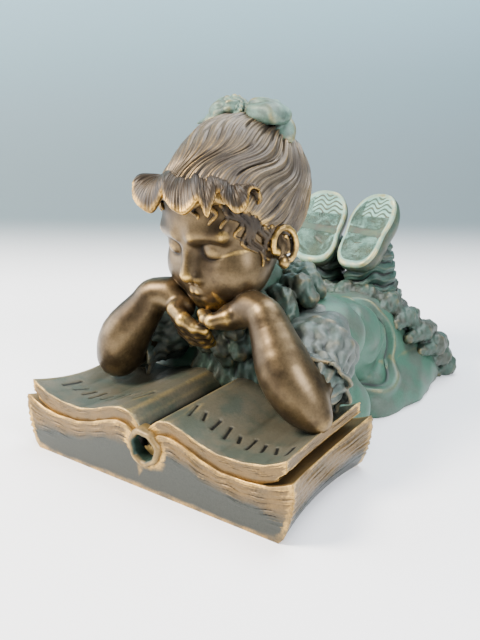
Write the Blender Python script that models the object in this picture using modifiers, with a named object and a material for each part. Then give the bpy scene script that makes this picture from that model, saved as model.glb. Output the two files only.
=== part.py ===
"""Reading child: a one-piece cast garden statue.

A small child lies on the stomach with the chin in both hands and reads a big open book.
The elbows rest on the pages, the shins are folded up and the shoes show their soles.
Figure and book are one casting, so they end as one solid.

+Z is up, the face looks along -Y and the child's left side is at +X.
The origin is under the middle of the statue, on the surface that it stands on.
"""

import math

import bmesh
import bpy
import numpy as np
from mathutils import Euler, Matrix, Vector

# Driving sizes of the casting, in metres
STATUE_LENGTH = 0.56  # from the roll of the book's spine to the frill behind the knees
STATUE_WIDTH = 0.36  # across the flared corners of the open book
STATUE_HEIGHT = 0.40  # up to the loops of the hair bow

# The free forms of the figure are given in modules: shares of the three sizes above
LENGTH_MODULES = 56.0
WIDTH_MODULES = 36.0
HEIGHT_MODULES = 40.0
MODULE = STATUE_HEIGHT / HEIGHT_MODULES
ORIGIN_BACK = 27.5  # modules from the front of the book back to the origin

# The open book, in metres
BOOK_DEPTH = 0.176  # from the reader's near edge to the far one
BOOK_FOOT_WIDTH = 0.330
BOOK_SIDE_HOLLOW = 0.010  # how far the long sides curve in between the corners
PAGE_CORNER_HEIGHT = 0.085
PAGE_DIP_HEIGHT = 0.068
PAGE_HUMP_HEIGHT = 0.085
PAGE_GUTTER_HEIGHT = 0.060
UPPER_LEAVES_WIDTH = 0.340
UPPER_LEAVES_DEPTH = 0.157
UPPER_LEAVES_THICKNESS = 0.014
LEAF_NOTCH = 0.008  # how far the gap between the two groups of leaves cuts in
COVER_HEIGHT = 0.016
COVER_GUTTER_HEIGHT = 0.034
PAGE_SIDE_SAG = 0.010  # how far the outer edge of a page sinks halfway back
UPPER_LEAVES_SETBACK = 0.003
LEAF_GAP = 0.007  # how far the two groups of leaves part at the corners
LEAF_RIDGE = 0.0012
LOWER_RIDGES = 2
BOOK_STATIONS = 6
WIDEST = STATUE_WIDTH / 2
BOOK_FRONT = -ORIGIN_BACK * MODULE
SPINE_ROLL_SIDE = 0.004
STROKES_PER_PAGE = 9
STROKE_FIRST = 0.034  # from the gutter to the first stroke
STROKE_PITCH = 0.0145
STROKE_LENGTH = 0.024
STROKE_WIDTH = 0.0028
STROKE_DEPTH = 0.0015
STROKE_BACK = 0.26  # how far back on the page the row runs, as a share of its depth
SPINE_ROLL_RADIUS = 0.021
SPINE_ROLL_WALL = 0.007
SPINE_ROLL_REACH = 0.005
SPINE_HOLE_DEPTH = 0.022
SPINE_ROLL_HEIGHT = 0.050

# Fineness of the solid, in metres and triangles
BODY_VOXEL = 0.0035
HEAD_VOXEL = 0.0020
FINE_VOXEL = 0.0020
HEAD_TRIANGLES = 4300
BODY_TRIANGLES = 3300
HEAD_ABOVE, HEAD_BEFORE = 14.0, 27.0  # the head and hands: above and in front of these, in modules
SETTLE_STEPS = 3


def place(x, y, z):
    """A point of the figure, from modules to metres."""
    return np.array(
        (
            x * STATUE_WIDTH / WIDTH_MODULES,
            (y - ORIGIN_BACK) * STATUE_LENGTH / LENGTH_MODULES,
            z * STATUE_HEIGHT / HEIGHT_MODULES,
        )
    )


class Egg:
    """A ball stretched to three radii and turned."""

    def __init__(self, centre, radii, turn=(0, 0, 0)):
        self.centre = np.array(centre, float)
        self.radii = np.array(radii, float) * MODULE
        angles = [math.radians(angle) for angle in turn]
        self.turn = np.array(Euler(angles).to_matrix())

    def depth(self, points):
        local = (points - self.centre) @ self.turn
        ratio = np.linalg.norm(local / self.radii, axis=1)
        slope = np.linalg.norm(local / self.radii**2, axis=1)
        return ratio * (ratio - 1.0) / np.maximum(slope, 1e-9)

    def add_to(self, bm):
        matrix = (
            Matrix.Translation(Vector(self.centre))
            @ Matrix(self.turn.tolist()).to_4x4()
            @ Matrix.Diagonal((*self.radii, 1.0))
        )
        bmesh.ops.create_icosphere(bm, subdivisions=3, radius=1.0, matrix=matrix)


class Limb:
    """A tapered rod with round ends."""

    def __init__(self, start, end, start_radius, end_radius):
        self.start, self.end = np.array(start, float), np.array(end, float)
        self.radii = np.array((start_radius, end_radius), float) * MODULE

    def depth(self, points):
        along = self.end - self.start
        reach = points - self.start
        share = np.clip(reach @ along / max(along @ along, 1e-12), 0.0, 1.0)
        gap = np.linalg.norm(reach - share[:, None] * along, axis=1)
        return gap - (self.radii[0] + (self.radii[1] - self.radii[0]) * share)

    def add_to(self, bm):
        along = Vector(self.end - self.start)
        for end, radius in ((self.start, self.radii[0]), (self.end, self.radii[1])):
            matrix = Matrix.Translation(Vector(end))
            bmesh.ops.create_icosphere(bm, subdivisions=2, radius=radius, matrix=matrix)
        turn = along.to_track_quat("Z", "Y").to_matrix().to_4x4()
        middle = Matrix.Translation(Vector((self.start + self.end) / 2))
        bmesh.ops.create_cone(
            bm,
            cap_ends=True,
            segments=14,
            radius1=self.radii[0],
            radius2=self.radii[1],
            depth=max(along.length, 1e-5),
            matrix=middle @ turn,
        )


def chain(points, radii):
    """A bent rod: limbs from each point to the next."""
    return [
        Limb(a, b, ra, rb)
        for a, b, ra, rb in zip(points, points[1:], radii, radii[1:])
    ]


def soft_union(first, second, softness):
    """The lower of two depths, with the joint between them filled softly."""
    reach = softness * MODULE
    share = np.maximum(reach - np.abs(first - second), 0.0) / reach
    return np.minimum(first, second) - share * share * reach / 4


def soft_cut(body, cutter, softness):
    """The depth of a body from which a cutter is taken."""
    return -soft_union(-body, cutter, softness)


def depth_of(masses, softness, points):
    total = masses[0].depth(points)
    for mass in masses[1:]:
        total = soft_union(total, mass.depth(points), softness)
    return total


def mesh_points(mesh):
    points = np.empty(len(mesh.vertices) * 3, np.float32)
    mesh.vertices.foreach_get("co", points)
    return points.reshape(-1, 3).astype(float)


def mesh_normals(mesh):
    normals = np.empty(len(mesh.vertices) * 3, np.float32)
    mesh.vertices.foreach_get("normal", normals)
    return normals.reshape(-1, 3).astype(float)


def set_mesh_points(mesh, points):
    mesh.vertices.foreach_set("co", points.astype(np.float32).ravel())
    mesh.update()


def new_object(name, mesh):
    obj = bpy.data.objects.new(name, mesh)
    bpy.context.scene.collection.objects.link(obj)
    return obj


def finished_mesh(obj):
    """The mesh that an object has once its modifiers are applied. The object is removed."""
    bpy.context.view_layer.update()
    graph = bpy.context.evaluated_depsgraph_get()
    mesh = bpy.data.meshes.new_from_object(obj.evaluated_get(graph))
    bpy.data.objects.remove(obj)
    return mesh


def voxel_skin(bm, voxel):
    """One closed skin round everything in a bmesh, which is freed."""
    mesh = bpy.data.meshes.new("skin")
    bm.to_mesh(mesh)
    bm.free()
    obj = new_object("skin", mesh)
    remesh = obj.modifiers.new("skin", "REMESH")
    remesh.mode = "VOXEL"
    remesh.voxel_size = voxel
    return finished_mesh(obj)


def settle(mesh, depth, steps, most_step):
    """Moves each point of a mesh along its normal onto the skin where depth is zero."""
    for _ in range(steps):
        points = mesh_points(mesh)
        step = np.clip(-depth(points), -most_step, most_step)
        set_mesh_points(mesh, points + mesh_normals(mesh) * step[:, None])


def sheet(bm, columns, rows, wall, shape):
    """Adds a folded sheet. Its middle is shape(across, along), both from 0 to 1."""
    part = bmesh.new()
    bmesh.ops.create_grid(part, x_segments=columns, y_segments=rows, size=0.5)
    for vert in part.verts:
        vert.co = Vector(shape(vert.co.x + 0.5, vert.co.y + 0.5))
    mesh = bpy.data.meshes.new("sheet")
    part.to_mesh(mesh)
    part.free()
    obj = new_object("sheet", mesh)
    shell = obj.modifiers.new("wall", "SOLIDIFY")
    shell.thickness = wall * MODULE
    shell.offset = 0.0
    bm.from_mesh(finished_mesh(obj))


# The head: x to the child's left, forward out of the face, up to the crown
HEAD_CENTRE = (0.0, 16.8, 26.8)
HEAD_NOD, HEAD_YAW = 17.0, -9.0  # degrees: down to the book, and to the child's right
HEAD_TURN = np.array(Euler((math.radians(HEAD_NOD), 0, math.radians(HEAD_YAW))).to_matrix())
BOW_KNOT = (0.0, -5.0, 9.7)
EYE_OUT, EYE_UP = 2.8, -0.7
NOSE_BASE_UP = -4.0
MOUTH_UP = -5.8


def head_point(x, forward, up):
    """A point given in the head's own directions, in modules, as metres."""
    offset = HEAD_TURN @ np.array((x, -forward, up))
    return place(*(offset + HEAD_CENTRE))


def in_head(points):
    """The head's own x, forward and up of points in metres, in modules."""
    local = (points - place(*HEAD_CENTRE)) / MODULE @ HEAD_TURN
    return local[:, 0], -local[:, 1], local[:, 2]


def head_egg(x, forward, up, radii, lean=0.0):
    """An egg whose radii run sideways, forward and up in the head's directions."""
    return Egg(head_point(x, forward, up), radii, (HEAD_NOD, lean, HEAD_YAW))


def both_sides(maker):
    """What maker gives for the child's left side and for the right one."""
    return [*maker(1), *maker(-1)]


def skull_masses():
    def cheek(side):
        return [head_egg(3.6 * side, 4.6, -4.2, (2.9, 2.9, 3.0))]

    return [
        head_egg(0, -1.6, 2.6, (7.0, 8.5, 8.0)),
        head_egg(0, 2.2, 1.6, (6.5, 5.9, 5.8)),
        head_egg(0, 2.4, -3.2, (6.0, 5.6, 5.2)),
        *both_sides(cheek),
        head_egg(0, 5.8, -5.4, (2.7, 2.1, 2.3)),
        head_egg(0, 6.1, -7.7, (1.9, 1.6, 1.4)),
    ]


def brow_masses():
    def brow(side):
        inner = head_point(1.3 * side, 7.4, EYE_UP + 1.9)
        outer = head_point(4.3 * side, 6.4, EYE_UP + 1.8)
        return [Limb(inner, outer, 0.8, 0.7)]

    return both_sides(brow)


def socket_cutters():
    def socket(side):
        return [head_egg(EYE_OUT * side, 8.5, EYE_UP - 0.1, (1.9, 1.3, 1.2))]

    return both_sides(socket)


def nose_masses():
    def wing(side):
        return [head_egg(0.85 * side, 8.0, NOSE_BASE_UP + 0.35, (0.65, 0.75, 0.6))]

    bridge = head_point(0, 7.2, EYE_UP + 0.7)
    tip = head_point(0, 8.6, NOSE_BASE_UP + 0.9)
    return [Limb(bridge, tip, 0.65, 0.95), *both_sides(wing)]


def lip_masses():
    def upper(side):
        corner = head_point(1.35 * side, 7.3, MOUTH_UP + 0.05)
        bow = head_point(0.35 * side, 8.1, MOUTH_UP + 0.38)
        return [Limb(corner, bow, 0.28, 0.42)]

    lower_left = head_point(0.75, 7.7, MOUTH_UP - 0.5)
    lower_right = head_point(-0.75, 7.7, MOUTH_UP - 0.5)
    return [*both_sides(upper), Limb(lower_left, lower_right, 0.45, 0.45)]


def lid_depth(points, side):
    """An eyeball under a lowered upper lid and a soft lower one."""
    centre = head_point(EYE_OUT * side, 5.9, EYE_UP)
    gap = np.linalg.norm(points - centre, axis=1) / MODULE
    x, forward, up = in_head(points)
    lid_edge = EYE_UP - 0.75 + 0.12 * (np.abs(x) - EYE_OUT) ** 2
    ball = gap - 1.50
    upper = np.maximum(gap - 1.66, (lid_edge - up) * 0.9)
    lower = np.maximum(gap - 1.60, (up - lid_edge + 0.32) * 0.9)
    return np.minimum(ball, np.minimum(upper, lower)) * MODULE


HAIRLINE_FORWARD = (-12.0, -3.0, -0.6, 0.8, 2.2, 3.4, 5.0, 6.6, 12.0)
HAIRLINE_UP = (-5.4, -5.2, -4.2, -2.0, -0.6, 1.0, 3.0, 4.6, 5.2)


def hair_masses():
    return [
        head_egg(0, -1.7, 2.6, (7.4, 8.8, 8.4)),
        head_egg(0, 2.2, 2.4, (6.8, 6.3, 6.0)),
    ]


def above_hairline(points):
    """How far points lie above the edge of the hair, in modules."""
    _, forward, up = in_head(points)
    return up - np.interp(forward, HAIRLINE_FORWARD, HAIRLINE_UP)


def head_depth(points):
    depth = depth_of(skull_masses(), 2.0, points)
    depth = soft_union(depth, depth_of(brow_masses(), 0.6, points), 1.2)
    depth = soft_cut(depth, depth_of(socket_cutters(), 0.4, points), 1.2)
    for side in (1, -1):
        depth = soft_union(depth, lid_depth(points, side), 0.25)
    depth = soft_union(depth, depth_of(nose_masses(), 0.5, points), 0.7)
    depth = soft_union(depth, depth_of(lip_masses(), 0.12, points), 0.45)
    hair = depth_of(hair_masses(), 2.0, points)
    edge = -above_hairline(points) * 0.8 * MODULE
    return soft_union(depth, soft_cut(hair, -edge, 0.3), 0.3)


# The arms, from the shoulder to the wrist, and the hands under the chin
# The child leans more on the left elbow, whose point turns outwards
ELBOWS = {1: (13.2, 9.9, 10.0), -1: (-12.2, 9.7, 9.9)}
ELBOW_POINTS = {1: (15.0, 9.8, 8.4), -1: (-12.7, 9.6, 9.0)}
WRIST = (7.6, 11.2, 17.8)


def arm_masses(side):
    upper = place(11.8 * side, 15.4, 11.4)
    point, elbow = place(*ELBOW_POINTS[side]), place(*ELBOWS[side])
    flesh = place(11.1 * side, 9.9, 12.7)
    narrow = place((WRIST[0] + 1.1) * side, WRIST[1] - 0.3, WRIST[2] - 1.6)
    wrist = place(WRIST[0] * side, WRIST[1], WRIST[2])
    palm = place((WRIST[0] - 1.9) * side, WRIST[1] + 0.6, WRIST[2] + 0.3)
    return [
        *chain((upper, elbow), (3.0, 2.6)),
        *chain((point, elbow, flesh, narrow, wrist, palm), (1.5, 2.7, 2.8, 2.0, 1.75, 1.7)),
    ]


def palm_masses(side):
    heel = place(5.4 * side, 12.0, 17.8)
    knuckles = place(3.4 * side, 11.2, 16.9)
    return [Limb(heel, knuckles, 1.7, 1.5)]


def finger_masses(side):
    """Four fingers of each hand: the right ones lie over the left ones, under the chin."""
    fingers = []
    for n in range(4):
        if side > 0:
            root = place(3.6, 10.2 + 0.95 * n, 17.0 - 0.35 * n)
            knuckle = place(1.6, 9.9 + 0.95 * n, 16.6 - 0.3 * n)
            tip = place(-0.4, 10.4 + 0.9 * n, 16.9 - 0.3 * n)
        else:
            root = place(-3.4, 9.9 + 0.6 * n, 16.9 - 0.95 * n)
            knuckle = place(-1.0, 9.3 + 0.7 * n, 16.0 - 0.85 * n)
            tip = place(1.5 - 0.25 * n, 9.6 + 0.8 * n, 15.2 - 0.75 * n)
        fingers += chain((root, knuckle, tip), (0.85, 0.75, 0.6))
    return fingers


def trunk_masses():
    def hip(side):
        return [Egg(place(6.4 * side, 31.0, 8.8), (5.4, 7.0, 5.4))]

    def haunch(side):
        return [
            Egg(place(5.2 * side, 39.5, 7.6), (6.6, 7.4, 6.6)),
            Limb(place(6.0 * side, 40.0, 5.5), place(8.8 * side, 50.2, 4.6), 5.4, 4.4),
        ]

    def skirt_side(side):
        return [Limb(place(10.6 * side, 33.6, 0.8), place(11.2 * side, 48.0, 0.8), 4.2, 4.4)]

    def shoulder(side):
        return [Limb(place(6.0 * side, 25.0, 12.6), place(9.2 * side, 23.0, 12.6), 4.8, 4.6)]

    return [
        Egg(place(0, 24.5, 9.4), (8.8, 7.6, 7.6)),
        Egg(place(0, 20.6, 6.4), (10.4, 5.0, 8.4)),
        Limb(place(-10.8, 21.4, 4.2), place(10.8, 21.4, 4.2), 4.9, 4.9),
        Egg(place(0, 32.5, 7.6), (9.6, 9.4, 7.0)),
        *both_sides(haunch),
        *both_sides(hip),
        *both_sides(shoulder),
        Egg(place(0, 41.0, 1.2), (16.0, 13.6, 5.4)),
        *both_sides(skirt_side),
        Limb(place(0, 20.0, 19.0), place(0, 24.0, 15.0), 3.6, 5.0),
    ]


def sleeve_line(side):
    """Shoulder, middle and cuff of a sleeve."""
    return place(8.6 * side, 22.6, 12.9), place(10.6 * side, 18.0, 12.2), place(12.3 * side, 14.0, 10.7)


def sleeve_masses(side):
    return chain(sleeve_line(side), (4.0, 4.2, 3.5))


def leg_masses(side):
    ankle = place(0.5 + 3.8 * side, 46.4, 18.4)
    calf = place(0.4 + 4.2 * side, 47.4, 12.5)
    knee = place(7.2 * side, 49.2, 6.2)
    return chain((ankle, calf, knee), (3.5, 3.9, 4.4))


def upper_depth(points):
    """The head, the forearms and the hands."""
    depth = head_depth(points)
    for side in (1, -1):
        arm = depth_of(arm_masses(side), 0.9, points)
        arm = soft_union(arm, depth_of(palm_masses(side), 0.6, points), 0.9)
        depth = soft_union(depth, arm, 0.25)
    hands = depth_of(both_sides(finger_masses), 0.12, points)
    return soft_union(depth, hands, 0.25)


def lower_depth(points):
    """The dressed trunk, the sleeves and the legs."""
    depth = depth_of(trunk_masses(), 2.5, points)
    for side in (1, -1):
        depth = soft_union(depth, depth_of(sleeve_masses(side), 1.0, points), 1.0)
        depth = soft_union(depth, depth_of(leg_masses(side), 1.0, points), 0.5)
    return depth


def settled_skin(masses, depth, voxel):
    bm = bmesh.new()
    for mass in masses:
        mass.add_to(bm)
    skin = voxel_skin(bm, voxel)
    settle(skin, depth, SETTLE_STEPS, 2 * voxel)
    return skin


def build_upper():
    masses = [
        *skull_masses(),
        *hair_masses(),
        *nose_masses(),
        *lip_masses(),
        *both_sides(arm_masses),
        *both_sides(palm_masses),
        *both_sides(finger_masses),
    ]
    return settled_skin(masses, upper_depth, HEAD_VOXEL)


def build_lower():
    masses = [*trunk_masses(), *both_sides(sleeve_masses), *both_sides(leg_masses)]
    return settled_skin(masses, lower_depth, BODY_VOXEL)


# The ruffled roll of hair over the forehead, from the right temple to the left one:
# where it leaves the hair, and its free edge, each as x, forward and up in the head
FRINGE_ROOT = (
    (-6.4, 1.6, 3.4), (-6.1, 3.2, 4.8), (-5.0, 4.4, 6.1), (-3.4, 4.8, 6.9), (-1.4, 4.9, 7.1),
    (0.8, 4.9, 7.2), (2.6, 4.7, 6.8), (4.2, 4.2, 6.1), (5.5, 3.6, 5.1), (6.2, 2.8, 4.0),
)
FRINGE_EDGE = (
    (-7.0, 1.8, 2.2), (-7.7, 3.0, 3.4), (-7.3, 4.0, 2.4), (-6.5, 5.0, 3.2), (-6.4, 5.8, 5.6),
    (-6.0, 6.6, 7.8), (-6.8, 7.6, 6.9), (-6.3, 8.4, 5.6), (-4.9, 8.7, 4.6), (-3.4, 8.5, 4.0),
    (-2.6, 7.6, 4.9), (-1.8, 7.0, 6.2), (-0.6, 8.3, 6.4), (0.3, 9.3, 5.7), (1.3, 9.6, 4.9),
    (2.6, 9.4, 4.4), (3.4, 8.8, 4.9), (3.8, 8.0, 5.4), (4.5, 8.1, 4.9), (5.1, 8.5, 4.0),
    (4.9, 7.4, 4.9), (4.6, 6.4, 5.5), (5.4, 6.1, 5.7), (6.2, 6.6, 4.7), (6.9, 6.3, 3.7),
    (7.2, 5.3, 3.9), (6.9, 4.2, 4.8), (7.2, 3.7, 5.4), (7.6, 3.2, 5.0), (7.5, 3.0, 4.0),
    (6.8, 2.8, 3.2),
)
FRINGE_SWELL = 1.3  # how far the roll stands out between its root and its edge


def smooth_track(stops, share):
    """A smooth curve through evenly spaced stops, at a share of its length."""
    reach = share * (len(stops) - 1)
    n = min(int(reach), len(stops) - 2)
    t = reach - n
    before, start, end, after = (
        np.array(stops[min(max(m, 0), len(stops) - 1)]) for m in range(n - 1, n + 3)
    )
    bend = (2 * before - 5 * start + 4 * end - after) * t**2
    turn = (3 * start - before - 3 * end + after) * t**3
    return start + ((end - before) * t + bend + turn) / 2


def fringe_shape(across, along):
    """The fringe as a sheet: it rolls up and out of the hair, then down to its free edge."""
    root, edge = smooth_track(FRINGE_ROOT, across), smooth_track(FRINGE_EDGE, across)
    out = np.array((root[0], root[1], 0.0))
    out /= np.linalg.norm(out)
    middle = (root + edge) / 2 + FRINGE_SWELL * (0.6 * out + (0.0, 0.0, 1.0))
    free = 1 - along
    return head_point(*(free**2 * root + 2 * free * along * middle + along**2 * edge))


# The hair bow's parts: where each one lies off the knot, its radii and its lean in degrees
BOW_FORMS = (
    ((-0.3, 0.0, 0.8), (0.9, 1.4, 1.0), 0),
    ((3.2, -0.2, 0.7), (2.7, 1.9, 1.3), 14),
    ((-2.3, 0.1, 1.3), (2.4, 1.8, 1.2), -8),
    ((4.1, -0.6, -0.9), (2.0, 1.4, 0.55), 48),
    ((-4.5, 0.5, 0.5), (2.9, 1.4, 0.5), -14),
)


def bow_masses():
    """The knot, a puffed loop to each side and an end below each loop."""
    return [
        head_egg(*(np.array(BOW_KNOT) + offset), radii, lean) for offset, radii, lean in BOW_FORMS
    ]


COLLAR_PUFFS = 15


def collar_masses():
    """The scalloped collar: puffs round the neck and down onto the shoulders."""
    puffs = []
    for n in range(COLLAR_PUFFS):
        turn = 2 * math.pi * (n + 0.5) / COLLAR_PUFFS
        ends = []
        for spread, drop in ((0.2, 0.0), (0.7, 0.1), (1.0, 1.5)):
            sideways = math.sin(turn) * (4.2 + 4.0 * spread)
            back = -math.cos(turn) * (3.2 + 3.4 * spread)
            rise = 0.62 * min(back, 0.0) + 0.05 * max(back, 0.0)
            ends.append(place(sideways, 20.9 + back, 19.6 + rise - drop))
        puffs += chain(ends, (0.9, 1.3, 1.15))
    return puffs


def bib_shape(level, waves, width):
    """One tier of the frill on the chest."""

    def shape(across, along):
        phase = 2 * math.pi * waves * across
        x = (across - 0.5) * width
        belly = 1.0 - (2 * across - 1) ** 2
        swing = along * 0.6 * math.cos(phase)
        lift = 0.5 * along * math.cos(phase)
        return place(x, 16.6 - 1.1 * belly - 1.1 * along - swing, level + lift - 2.4 * along)

    return shape


def cuff_shape(side):
    """The frilled edge of a sleeve, open round the arm."""
    _, puff, cuff = sleeve_line(side)
    axis = Vector(cuff - puff).normalized()
    first = axis.cross(Vector((0, 0, 1))).normalized()
    second = axis.cross(first)
    centre = Vector(cuff)

    def shape(across, along):
        turn = 2 * math.pi * across
        wave = math.cos(9 * turn)
        radius = (3.1 + 0.9 * along + 0.35 * along * wave) * MODULE
        reach = (1.6 * along + 0.25 * along * wave) * MODULE
        return centre + axis * reach + radius * (
            math.cos(turn) * first + math.sin(turn) * second
        )

    return shape


# Half of the hem, from the middle of the back down to the floor, and the frill's free edge
HEM_STOPS = (0.0, 0.16, 0.30, 0.44, 0.58, 0.74, 0.90, 1.0)
HEM_X = (0.0, 4.2, 7.6, 10.2, 12.2, 13.8, 14.8, 15.0)
HEM_Y = (38.0, 38.2, 38.8, 40.0, 42.0, 45.2, 48.6, 50.6)
HEM_Z = (12.6, 13.2, 12.6, 10.8, 8.4, 5.4, 2.4, 0.6)
EDGE_X = (0.0, 4.0, 7.6, 10.6, 13.0, 14.6, 15.3, 15.2)
EDGE_Y = (41.0, 41.4, 43.0, 45.4, 48.2, 51.2, 53.0, 53.5)
EDGE_Z = (13.6, 14.2, 13.4, 11.4, 8.6, 5.4, 2.4, 1.2)
FRILL_PLEATS = 8  # on each half
FRILL_BAND = 1.0  # radius of the cloth that joins the pleats, in modules
BACK_PLEATS = 6  # along the floor behind the knees, on each half


def frill_masses(side):
    """The pleats of the petticoat frill: over the haunches, down the side and behind."""
    pleats, crests, middles = [], [], []
    for n in range(FRILL_PLEATS + 1):
        where = n / FRILL_PLEATS
        hem = [np.interp(where, HEM_STOPS, track) for track in (HEM_X, HEM_Y, HEM_Z)]
        edge = [np.interp(where, HEM_STOPS, track) for track in (EDGE_X, EDGE_Y, EDGE_Z)]
        fullness = 1.1 + 0.3 * where + 0.14 * math.sin(2.3 * n + side)
        crest = [(a + b) / 2 + c for a, b, c in zip(hem, edge, (0.3, 0.4, 0.4))]
        ends = [place(spot[0] * side, *spot[1:]) for spot in (hem, crest, edge)]
        pleats += chain(ends, (0.8, 1.25 * fullness, 1.1 * fullness))
        crests.append(ends[1])
        middles.append((ends[1] + ends[2]) / 2)
    pleats += chain(crests, [FRILL_BAND] * len(crests)) + chain(middles, [FRILL_BAND] * len(middles))
    for n in range(BACK_PLEATS):
        x = 14.2 - 14.0 * n / BACK_PLEATS
        fullness = 1 + 0.16 * math.sin(1.9 * n + side)
        ends = (place(x * side, 51.0, 2.6), place(x * side, 53.75, 1.6))
        pleats += chain(ends, (1.3, 1.5 * fullness))
    return pleats


SOLE_TOE_HALF, SOLE_HEEL_HALF, SOLE_LENGTH = 3.9, 3.3, 12.0
SOLE_LEAN = math.radians(52)
SOLE_ROLL = math.radians(10)
HEEL_SQUARE, TOE_SQUARE = 0.65, 0.85  # below 1 an end of the sole is squarer than an oval's


def add_shoe(bm, side):
    """A shoe with its flat sole turned up and to the front."""
    shoe = bmesh.new()
    bmesh.ops.create_circle(shoe, cap_ends=True, segments=28, radius=1.0)
    for vert in shoe.verts:
        squarer = HEEL_SQUARE if vert.co.y < 0 else TOE_SQUARE
        reach = abs(vert.co.y) ** squarer * math.copysign(1, vert.co.y)
        share = (reach + 1) / 2
        half = SOLE_HEEL_HALF + (SOLE_TOE_HALF - SOLE_HEEL_HALF) * share
        waist = 1 - 0.10 * math.exp(-((share - 0.42) ** 2) / 0.03)
        corner = abs(vert.co.x) ** squarer * math.copysign(1, vert.co.x)
        vert.co = Vector((corner * half * waist, reach * SOLE_LENGTH / 2, 0))
    sole = shoe.faces[:]
    bmesh.ops.recalc_face_normals(shoe, faces=sole)
    if sole[0].normal.z < 0:
        bmesh.ops.reverse_faces(shoe, faces=sole)
    for depth, share in ((0.25, 1.06), (0.9, 1.06), (0.25, 0.97), (1.6, 0.93), (1.2, 0.72)):
        made = bmesh.ops.extrude_face_region(shoe, geom=sole)
        verts = [item for item in made["geom"] if isinstance(item, bmesh.types.BMVert)]
        sole = [item for item in made["geom"] if isinstance(item, bmesh.types.BMFace)]
        bmesh.ops.translate(shoe, verts=verts, vec=(0, 0, -depth))
        bmesh.ops.scale(shoe, verts=verts, vec=(share, share, 1))
    bmesh.ops.recalc_face_normals(shoe, faces=shoe.faces)
    middle = place(0.3 + 3.85 * side, 44.9, 22.5)
    matrix = (
        Matrix.Translation(Vector(middle))
        @ Matrix.Rotation(SOLE_LEAN, 4, "X")
        @ Matrix.Rotation(math.radians(-5 * side), 4, "Z")
        @ Matrix.Rotation(-SOLE_ROLL * side, 4, "Y")
        @ Matrix.Scale(MODULE, 4)
    )
    bmesh.ops.transform(shoe, matrix=matrix, verts=shoe.verts)
    mesh = bpy.data.meshes.new("shoe")
    shoe.to_mesh(mesh)
    shoe.free()
    bm.from_mesh(mesh)
    bpy.data.meshes.remove(mesh)


def ear_masses(side):
    """An ear: a thin plate with a raised rim, an inner fold and a lobe."""
    x, forward, up = 6.45 * side, 0.5, -2.4
    rim = []
    for n in range(9):
        turn = math.radians(-75 + 33 * n)
        stand = 0.85 + 0.45 * math.cos(turn)
        rim.append(
            head_point(
                x + side * stand,
                forward - 1.35 * math.cos(turn),
                up + 0.2 + 1.95 * math.sin(turn),
            )
        )
    fold = []
    for n in range(5):
        turn = math.radians(-60 + 30 * n)
        fold.append(
            head_point(
                x + 0.8 * side,
                forward - 0.1 - 0.6 * math.cos(turn),
                up + 0.1 + 1.0 * math.sin(turn),
            )
        )
    plate = head_egg(x + 0.15 * side, forward, up + 0.1, (0.75, 1.2, 1.8))
    lobe = head_egg(x + 0.65 * side, forward + 0.3, up - 1.8, (0.55, 0.7, 0.7))
    return [plate, lobe, *chain(rim, [0.42] * len(rim)), *chain(fold, [0.30] * len(fold))]


TEMPLE_CURLS = ((4.3, 0.9, 0.8, 0.0), (3.6, -0.5, 0.7, 1.6), (3.1, -1.7, 0.55, 3.0))


def temple_curls(side):
    """Short loose curls in front of the ear."""
    curls = []
    for forward, up, size, spin in TEMPLE_CURLS:
        ring = []
        for n in range(6):
            turn = spin + n * 0.95
            reach = size * (1 - 0.1 * n)
            x = 6.35 - 0.13 * (forward - 2.0) ** 2 + 0.1 * n
            ring.append(
                head_point(
                    x * side, forward + reach * math.cos(turn), up + reach * math.sin(turn)
                )
            )
        curls += chain(ring, (0.5, 0.48, 0.45, 0.4, 0.35, 0.3))
    return curls


def ornament_masses():
    """The bow's knot, the ears, the curls beside them, the rosette, the collar and the frill."""
    return [
        head_egg(*BOW_KNOT, (1.0, 1.4, 1.1)),
        *bow_masses(),
        *both_sides(ear_masses),
        *both_sides(temple_curls),
        Egg(place(0.2, 15.4, 9.6), (1.1, 0.7, 1.1)),
        *collar_masses(),
        *both_sides(frill_masses),
    ]


def fine_figure():
    """The whole figure as one closed skin, before it is made coarser."""
    bm = bmesh.new()
    for mass in ornament_masses():
        mass.add_to(bm)
    for side in (1, -1):
        sheet(bm, 72, 5, 0.7, cuff_shape(side))
        add_shoe(bm, side)
    sheet(bm, 150, 10, 0.5, fringe_shape)
    sheet(bm, 50, 6, 0.7, bib_shape(14.6, 5, 11.0))
    sheet(bm, 50, 6, 0.7, bib_shape(12.6, 4, 12.0))
    bm.from_mesh(build_upper())
    bm.from_mesh(build_lower())
    figure = voxel_skin(bm, FINE_VOXEL)
    points, normals = mesh_points(figure), mesh_normals(figure)
    relief = hair_relief(points) + fold_relief(points) + sock_relief(points)
    set_mesh_points(figure, points + normals * (relief * MODULE)[:, None])
    return figure


def ridge(phase):
    """Rounded ridges between narrow grooves, from -1 to 1."""
    return 1 - 2 * np.abs(np.cos(phase / 2)) ** 3


COMB_END = (0.5, -9.0, 6.5)  # where the combed hair meets, behind the bow
HAIR_LOCKS = 21
LOCK_RELIEF = 0.14


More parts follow.
